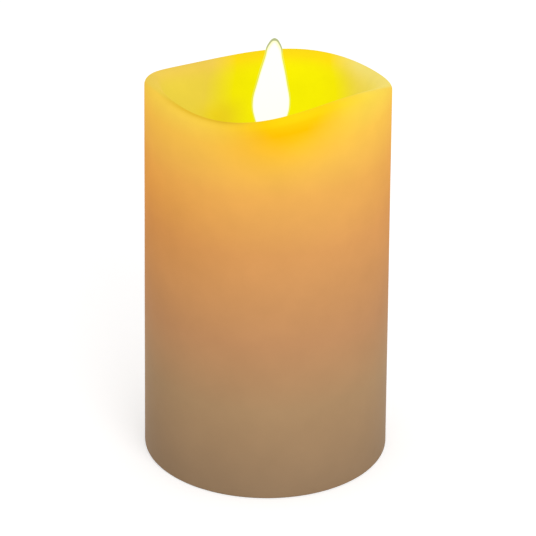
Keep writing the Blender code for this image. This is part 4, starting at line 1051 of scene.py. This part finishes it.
class Contacts(bpy.types.Operator):
    """Stamp the contact plates and wind the battery springs"""

    bl_idname = "candle.contacts"
    bl_label = "Contacts and springs"

    def execute(self, context):
        dress("door_contact", "contact", "door", THIN_EDGE)
        for node in ("top_contact_positive", "top_contact_negative"):
            dress(node, "contact", width=THIN_EDGE)
        stand_in("door_spring", "wound", spring_mesh("door_spring", foot_down=True), "steel", "door")
        stand_in("top_spring", "wound", spring_mesh("top_spring", foot_down=False), "steel")
        return {"FINISHED"}


def cell_mesh(radius, height, nub=0.0010, collar=0.0115):
    """A cell that stands on its negative end, with a rolled sleeve and a stepped positive end."""
    body = height - nub
    collar_start = body - collar
    steel_foot = [(0.0, 0.0), (0.0047, 0.0), (0.0050, 0.00012), (0.0054, 0.0003), (0.0059, 0.0003)]
    roll_low = [(0.0063, 0.0001), (0.0066, 0.0), (radius - 0.0002, 0.00008), (radius, 0.0005)]
    sleeve = [(radius, collar_start - 0.0001), (radius, collar_start)]
    roll_high = [(radius, body - 0.0006), (radius - 0.0002, body - 0.0001), (0.0066, body),
                 (0.0063, body - 0.0001)]
    steel_head = [(0.0059, body - 0.0004), (0.0052, body - 0.00045), (0.0034, body - 0.0003),
                  (0.00285, body - 0.0001), (0.0027, height - 0.0005), (0.0026, height - 0.0001),
                  (0.0023, height), (0.0, height)]
    profile = steel_foot + roll_low + sleeve + roll_high + steel_head
    mesh = mesh_from(turned(profile))
    steel = set(steel_foot + steel_head)
    in_metal, in_collar = [], []
    for point in profile:
        count = ROUND_STEPS if point[0] else 1
        in_metal += [float(point in steel)] * count
        in_collar += [float(point[1] >= collar_start)] * count
    set_mask(mesh, "metal", in_metal)
    set_mask(mesh, "collar", in_collar)
    return mesh


class Cells(bpy.types.Operator):
    """Make the two cells with their sleeves and steel ends"""

    bl_idname = "candle.cells"
    bl_label = "Cells"

    def execute(self, context):
        for node, positive_up in (("battery_left", True), ("battery_right", False)):
            low, high, middle = extent(node)
            mesh = cell_mesh((high.x - low.x) / 2, high.z - low.z)
            turn = Matrix.Rotation(0.0 if positive_up else math.pi, 4, "X")
            foot = Vector((middle.x, middle.y, low.z if positive_up else high.z))
            mesh.transform(Matrix.Translation(foot) @ turn)
            stand_in(node, "cell", mesh, "cell")
        return {"FINISHED"}


def screw_place(node):
    """Where a screw's crown lies and which way its head faces, from its solid."""
    low, high, middle = extent(node)
    size = high - low
    axis = max(range(3), key=lambda index: size[index])
    along = Vector([float(index == axis) for index in range(3)])
    spread = {1: 0.0, -1: 0.0}
    for vertex in frame["nodes"][node].data.vertices:
        offset = vertex.co - middle
        side = 1 if offset[axis] > 0 else -1
        spread[side] = max(spread[side], (offset - along * offset[axis]).length)
    facing = along * (1 if spread[1] > spread[-1] else -1)
    crown = middle + facing * size[axis] / 2
    return Matrix.Translation(crown) @ facing.to_track_quat("Z", "Y").to_matrix().to_4x4()


def screw_mesh(head, head_height, core, length):
    """A pan-head screw with a cross recess and a thread, its crown at z = 0 and facing up."""
    pitch, rows_a_turn, crest = 0.0008, 6, core * 1.45
    dome, skirt, brim, tip_width, tip_start = 0.6, 0.9, 0.95, 0.4, 0.97
    lead_in, lead_out, taper, steepness = 0.0004, 0.0002, 0.0020, 3
    rows = [(0.0, 0.0)]
    for step in range(1, ARC_ROWS + 1):
        angle = math.pi / 2 * step / ARC_ROWS
        rows.append((head * math.sin(angle), -dome * head_height * (1 - math.cos(angle))))
    rows += [(head, -skirt * head_height), (brim * head, -head_height), (core, -head_height)]
    count = round(rows_a_turn * length / pitch)
    rows += [(core, -head_height - length * (step + 1) / (count + rows_a_turn)) for step in range(count)]
    rows += [(tip_width * core, -head_height - tip_start * length), (0.0, -head_height - length)]
    shape = turned(rows, SCREW_STEPS)
    top, end = -head_height - lead_in, -head_height - length
    for vertex in shape.verts:
        across = math.hypot(vertex.co.x, vertex.co.y)
        if end + lead_out < vertex.co.z < top and across > 0:
            phase = (vertex.co.z / pitch + math.atan2(vertex.co.y, vertex.co.x) / (2 * math.pi)) % 1.0
            ridge = max(0.0, 1 - steepness * abs(phase - 0.5)) * smooth_step(end, end + taper, vertex.co.z)
            vertex.co.xy *= (core + (crest - core) * ridge) / across
    return cut(mesh_from(shape), cross_tool(arm=0.62 * head, half=0.00025, deep=0.0006, above=0.0004))


class Screws(bpy.types.Operator):
    """Drive the screws, in two sizes"""

    bl_idname = "candle.screws"
    bl_label = "Screws"

    def execute(self, context):
        large = screw_mesh(head=0.0020, head_height=0.0013, core=0.0007, length=0.0070)
        small = screw_mesh(head=0.0016, head_height=0.0010, core=0.00055, length=0.0042)
        base = [f"base_screw_{number}" for number in range(1, 5)]
        housing = ["housing_screw_front", "housing_screw_back", "mount_screw_left", "mount_screw_right"]
        board = ["board_screw_lower", "board_screw_upper", "switch_screw_left", "switch_screw_right"]
        for node in base + housing + board:
            mesh = (small if node in board else large).copy()
            mesh.transform(screw_place(node))
            stand_in(node, "threaded", mesh, "steel")
        return {"FINISHED"}


class SlideSwitch(bpy.types.Operator):
    """Make the slide switch and its ribbed knob"""

    bl_idname = "candle.slide_switch"
    bl_label = "Slide switch"

    def execute(self, context):
        dress("slide_switch", "steel", width=THIN_EDGE)
        soft, pitch, half, radius = 0.00015, 0.0009, 0.0011, 0.00025
        low, _, middle = extent("switch_knob")
        knob = softened("switch_knob", soft)
        for number in (-1, 0, 1):
            centre = Vector((middle.x + number * pitch, middle.y, low.z))
            add_rib(knob, centre, Vector((0.0, half, 0.0)), radius)
        stand_in("switch_knob", "ribbed", mesh_from(knob), "black_plastic", "knob")
        return {"FINISHED"}


def legged_mesh(node, axis, pitch, counts):
    """A chip's body with bent legs down to the board, so many on its low and its high side along an axis."""
    radius, root, knee, heel, toe = 0.0002, -0.0003, 0.0004, 0.0006, 0.0011
    low, high, middle = extent(node)
    foot = BOARD_FACE + radius
    # A fresh shape keeps the body's vertices ahead of the legs'
    shape = bmesh.new()
    add_shape(shape, softened(node, THIN_EDGE))
    plastic = len(shape.verts)
    for side, edge, count in zip((-1, 1), (low[axis], high[axis]), counts):
        for number in range(count):
            points = []
            for reach, y in ((root, middle.y), (knee, middle.y), (heel, foot), (toe, foot)):
                point = Vector((0.0, y, 0.0))
                point[axis] = edge + side * reach
                point[2 - axis] = middle[2 - axis] + pitch * (number - (count - 1) / 2)
                points.append(point)
            add_shape(shape, wire(points, radius))
    mesh = mesh_from(shape)
    set_mask(mesh, "metal", [float(index >= plastic) for index in range(len(mesh.vertices))])
    return mesh


def capped_mesh(node):
    """A chip resistor with metal caps at both ends."""
    shape = softened(node, THIN_EDGE)
    low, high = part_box(node)
    middle, half = (low.x + high.x) / 2, (high.x - low.x) / 2
    cap, edge = 0.62 * half, 0.01 * half
    for x in (-cap - edge, -cap + edge, cap - edge, cap + edge):
        everything = shape.verts[:] + shape.edges[:] + shape.faces[:]
        bmesh.ops.bisect_plane(shape, geom=everything, plane_co=(middle + x, 0.0, 0.0),
                               plane_no=(1.0, 0.0, 0.0))
    mesh = mesh_from(shape)
    set_mask(mesh, "metal", [float(abs(vertex.co.x - middle) > cap) for vertex in mesh.vertices])
    return mesh


def capacitor_mesh(node):
    """A can with a crimped foot, a sleeve that is rolled over its top and a vent cross in the bare metal."""
    waist, crimp_above, crimp_below, crimp = 0.0015, 0.0008, 0.0006, 0.92
    roll, rolled_over, sunk = 0.0004, 0.0006, 0.00015
    low, high, middle = extent(node)
    radius, height = (high.x - low.x) / 2, high.y - low.y
    bare = radius - rolled_over
    rows = [(0.0, 0.0), (bare, 0.0), (bare, sunk), (bare + sunk, sunk)]
    rows += arc((radius - roll, -roll + sunk), roll, 90, 0)
    rows += [(radius, crimp_above + waist - height), (crimp * radius, waist - height),
             (radius, waist - height - crimp_below)]
    rows += arc((radius - roll, roll + sunk - height), roll, 0, -90) + [(0.0, sunk - height)]
    mesh = cut(mesh_from(turned(rows)), cross_tool(arm=0.6 * bare, half=0.0001, deep=0.00015, above=0.0002))
    set_mask(mesh, "metal", [float(vertex.co.z > -roll and math.hypot(*vertex.co.xy) < bare + sunk / 2)
                             for vertex in mesh.vertices])
    crown = Matrix.Translation((middle.x, high.y - sunk, middle.z))
    mesh.transform(crown @ Matrix.Rotation(-math.pi / 2, 4, "X"))
    return mesh


def solder_mesh(radius=0.0009, height=0.0008):
    """A dome of solder at the end of each lead on the board."""
    dome = ((0.0, 1.0), (0.3, 0.96), (0.55, 0.75), (0.7, 0.45), (0.85, 0.15), (1.0, 0.0), (0.0, 0.0))
    rows = [(across * radius, up * height) for across, up in dome]
    low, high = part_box("control_board")
    shape = bmesh.new()
    for node, solid in frame["nodes"].items():
        if "_lead_" not in node:
            continue
        ends = [vertex.co for vertex in solid.data.vertices
                if low.z < vertex.co.z < high.z and vertex.co.y < high.y + height]
        if ends:
            end = sum(ends, Vector()) / len(ends)
            place = Matrix.Translation((end.x, BOARD_FACE, end.z)) @ Matrix.Rotation(-math.pi / 2, 4, "X")
            add_shape(shape, turned(rows, SCREW_STEPS), place)
    return mesh_from(shape)


class ControlBoard(bpy.types.Operator):
    """Make the control board and the parts soldered to it"""

    bl_idname = "candle.control_board"
    bl_label = "Control board"

    def execute(self, context):
        dress("control_board", "board", width=THIN_EDGE)
        meshes = {
            "controller_chip": legged_mesh("controller_chip", axis=0, pitch=0.00127, counts=(4, 4)),
            "drive_transistor": legged_mesh("drive_transistor", axis=2, pitch=0.0019, counts=(2, 1)),
            "resistor_coil": capped_mesh("resistor_coil"),
            "resistor_led": capped_mesh("resistor_led"),
            "capacitor": capacitor_mesh("capacitor"),
        }
        for node, mesh in meshes.items():
            stand_in(node, "soldered", mesh, "black_plastic", look="board_parts")
        show("solder_joints", solder_mesh(), shared("steel"))
        return {"FINISHED"}


def winding_mesh(turns=13, bore=0.0033):
    """The drive coil's winding, with a ridge for each turn of its outer layer."""
    ridge = ((0.35, 0.0), (0.08, 0.25), (0.0, 0.5), (0.08, 0.75))
    valley = ridge[0][0]
    low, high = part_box("coil_winding")
    pitch = (high.z - low.z) / turns
    rows = [(bore, high.z)]
    for turn in range(turns):
        top = high.z - pitch * turn
        rows += [(high.x - pitch * sunk, top - pitch * down) for sunk, down in ridge]
    rows += [(high.x - pitch * valley, low.z), (bore, low.z)]
    return mesh_from(turned(rows, closed=True))


class Mechanism(bpy.types.Operator):
    """Make the lamp, the coil, the magnet and the pivot wire"""

    bl_idname = "candle.mechanism"
    bl_label = "Lamp, coil and magnet"

    def execute(self, context):
        stand_in("led", "lens", mesh_from(softened("led", THIN_EDGE)), "lens")
        dress("flame_magnet", "magnet", "flame", width=0.0003)
        stand_in("coil_winding", "wound", winding_mesh(), "copper")
        for node in ("pivot_wire", "led_leg_positive", "led_leg_negative"):
            dress(node, "steel", width=0.00005)
        return {"FINISHED"}


def rounded(node):
    """A solid wire's own shape, with more sides."""
    shape = welded(node)
    bmesh.ops.subdivide_edges(shape, edges=shape.edges, cuts=1, smooth=1.0, use_grid_fill=True)
    return shape


class Leads(bpy.types.Operator):
    """Sleeve the leads"""

    bl_idname = "candle.leads"
    bl_label = "Leads"

    def execute(self, context):
        sleeves = {
            "red_lead": ("battery_lead_positive", "led_lead_positive", "switch_lead_on"),
            "black_lead": ("battery_lead_negative", "led_lead_negative", "switch_lead_common"),
            "yellow_lead": ("switch_lead_timer",),
            "copper": ("coil_lead_start", "coil_lead_end"),
        }
        for slot, nodes in sleeves.items():
            for node in nodes:
                stand_in(node, "sleeve", mesh_from(rounded(node)), slot)
        return {"FINISHED"}


# The stage

def camera_rays(tree):
    """1 for what the eye sees, also in a mirror or through glass, and 0 for light that falls on things."""
    path = add_node(tree, "ShaderNodeLightPath").outputs
    total = path["Is Camera Ray"]
    for other in ("Is Glossy Ray", "Is Transmission Ray"):
        total = add_node(tree, "ShaderNodeMath", {0: total, 1: path[other]}, operation="MAXIMUM").outputs[0]
    return total


def floor_material(stage):
    """A pale matt floor that looks white and keeps its shadow."""
    material, tree, shader = new_material("floor", 0.9)
    set_inputs(tree, shader, {"Base Color": opaque(stage.floor), "Specular IOR Level": 0.0})
    matt = shader.outputs[0]
    glow = add_node(tree, "ShaderNodeEmission", {"Strength": stage.floor_lift})
    both = add_node(tree, "ShaderNodeAddShader", {0: matt, 1: glow.outputs[0]})
    choice = add_node(tree, "ShaderNodeMixShader", {0: camera_rays(tree), 1: matt, 2: both.outputs[0]})
    set_inputs(tree, tree.nodes["Material Output"], {"Surface": choice.outputs[0]})
    return material


def make_world(stage):
    """Even white light that looks white."""
    world = bpy.data.worlds.new("studio")
    world.use_nodes = True
    tree = world.node_tree
    level = add_node(tree, "ShaderNodeMix", {0: camera_rays(tree), 2: stage.sky, 3: 1.0}, data_type="FLOAT")
    set_inputs(tree, tree.nodes["Background"], {"Color": opaque(EVEN), "Strength": level.outputs[0]})
    bpy.context.scene.world = world


def make_lamp(stage):
    """A large soft lamp that points at the candle."""
    lamp = bpy.data.lights.new("key_lamp", "AREA")
    lamp.shape = "DISK"
    lamp.size = stage.key_size
    lamp.energy = stage.key
    place = Vector(stage.key_place)
    thing = add_object("key_lamp", lamp)
    thing.location = place
    thing.rotation_mode = "QUATERNION"
    thing.rotation_quaternion = (Vector(stage.aim) - place).to_track_quat("-Z", "Y")


def make_camera(stage):
    """The camera at the viewing angle of the picture, with its slight roll."""
    camera = bpy.data.cameras.new("view")
    camera.lens = stage.lens
    camera.clip_end = 20.0
    back = Vector((0.0, -math.cos(stage.elevation), math.sin(stage.elevation)))
    level = Vector((1.0, 0.0, 0.0))
    upright = back.cross(level)
    right = level * math.cos(stage.roll) + upright * math.sin(stage.roll)
    up = upright * math.cos(stage.roll) - level * math.sin(stage.roll)
    turn = Matrix((right, up, back)).transposed().to_4x4()
    thing = add_object("view", camera)
    thing.matrix_world = Matrix.Translation(Vector(stage.aim) + back * stage.distance) @ turn
    bpy.context.scene.camera = thing


class Stage(bpy.types.Operator):
    """Set the pale floor, the soft light and the camera"""

    bl_idname = "candle.stage"
    bl_label = "Stage"

    def execute(self, context):
        stage = context.scene.candle.stage
        reach = 4.0
        sheet = bmesh.new()
        bmesh.ops.create_grid(sheet, x_segments=1, y_segments=1, size=reach)
        floor = add_object("floor", mesh_from(sheet))
        floor.data.materials.append(floor_material(stage))
        make_world(stage)
        make_lamp(stage)
        make_camera(stage)
        context.scene.view_settings.view_transform = "Standard"
        return {"FINISHED"}


# The add-on

class CandlePanel(bpy.types.Panel):
    """The candle's pieces and what can be changed"""

    bl_idname = "CANDLE_PT_pieces"
    bl_label = "Flameless LED candle"
    bl_space_type = "VIEW_3D"
    bl_region_type = "UI"
    bl_category = "Candle"

    def draw(self, context):
        for operator in OPERATORS:
            self.layout.operator(operator.bl_idname)
        for group in CandleSettings.__annotations__:
            settings = getattr(context.scene.candle, group)
            box = self.layout.box()
            box.label(text=type(settings).__doc__)
            for name in type(settings).__annotations__:
                box.prop(settings, name)


OPERATORS = (WaxShell, Flame, Plastics, BatteryDoor, Contacts, Cells, Screws, SlideSwitch, ControlBoard,
             Mechanism, Leads, Stage)
CLASSES = (WaxShape, GlowColours, FinishColours, StageSettings, CandleSettings, *OPERATORS, CandlePanel)


def register():
    """Make the classes and the candle's settings known to Blender."""
    for each in CLASSES:
        bpy.utils.register_class(each)
    bpy.types.Scene.candle = PointerProperty(type=CandleSettings)


def unregister():
    """Take the classes and the settings away again."""
    del bpy.types.Scene.candle
    for each in reversed(CLASSES):
        bpy.utils.unregister_class(each)


def main():
    """Register the classes, and build every piece and the stage."""
    register()
    bpy.ops.candle.wax_shell()
    bpy.ops.candle.flame()
    bpy.ops.candle.plastics()
    bpy.ops.candle.battery_door()
    bpy.ops.candle.contacts()
    bpy.ops.candle.cells()
    bpy.ops.candle.screws()
    bpy.ops.candle.slide_switch()
    bpy.ops.candle.control_board()
    bpy.ops.candle.mechanism()
    bpy.ops.candle.leads()
    bpy.ops.candle.stage()


if __name__ == "__main__":
    main()
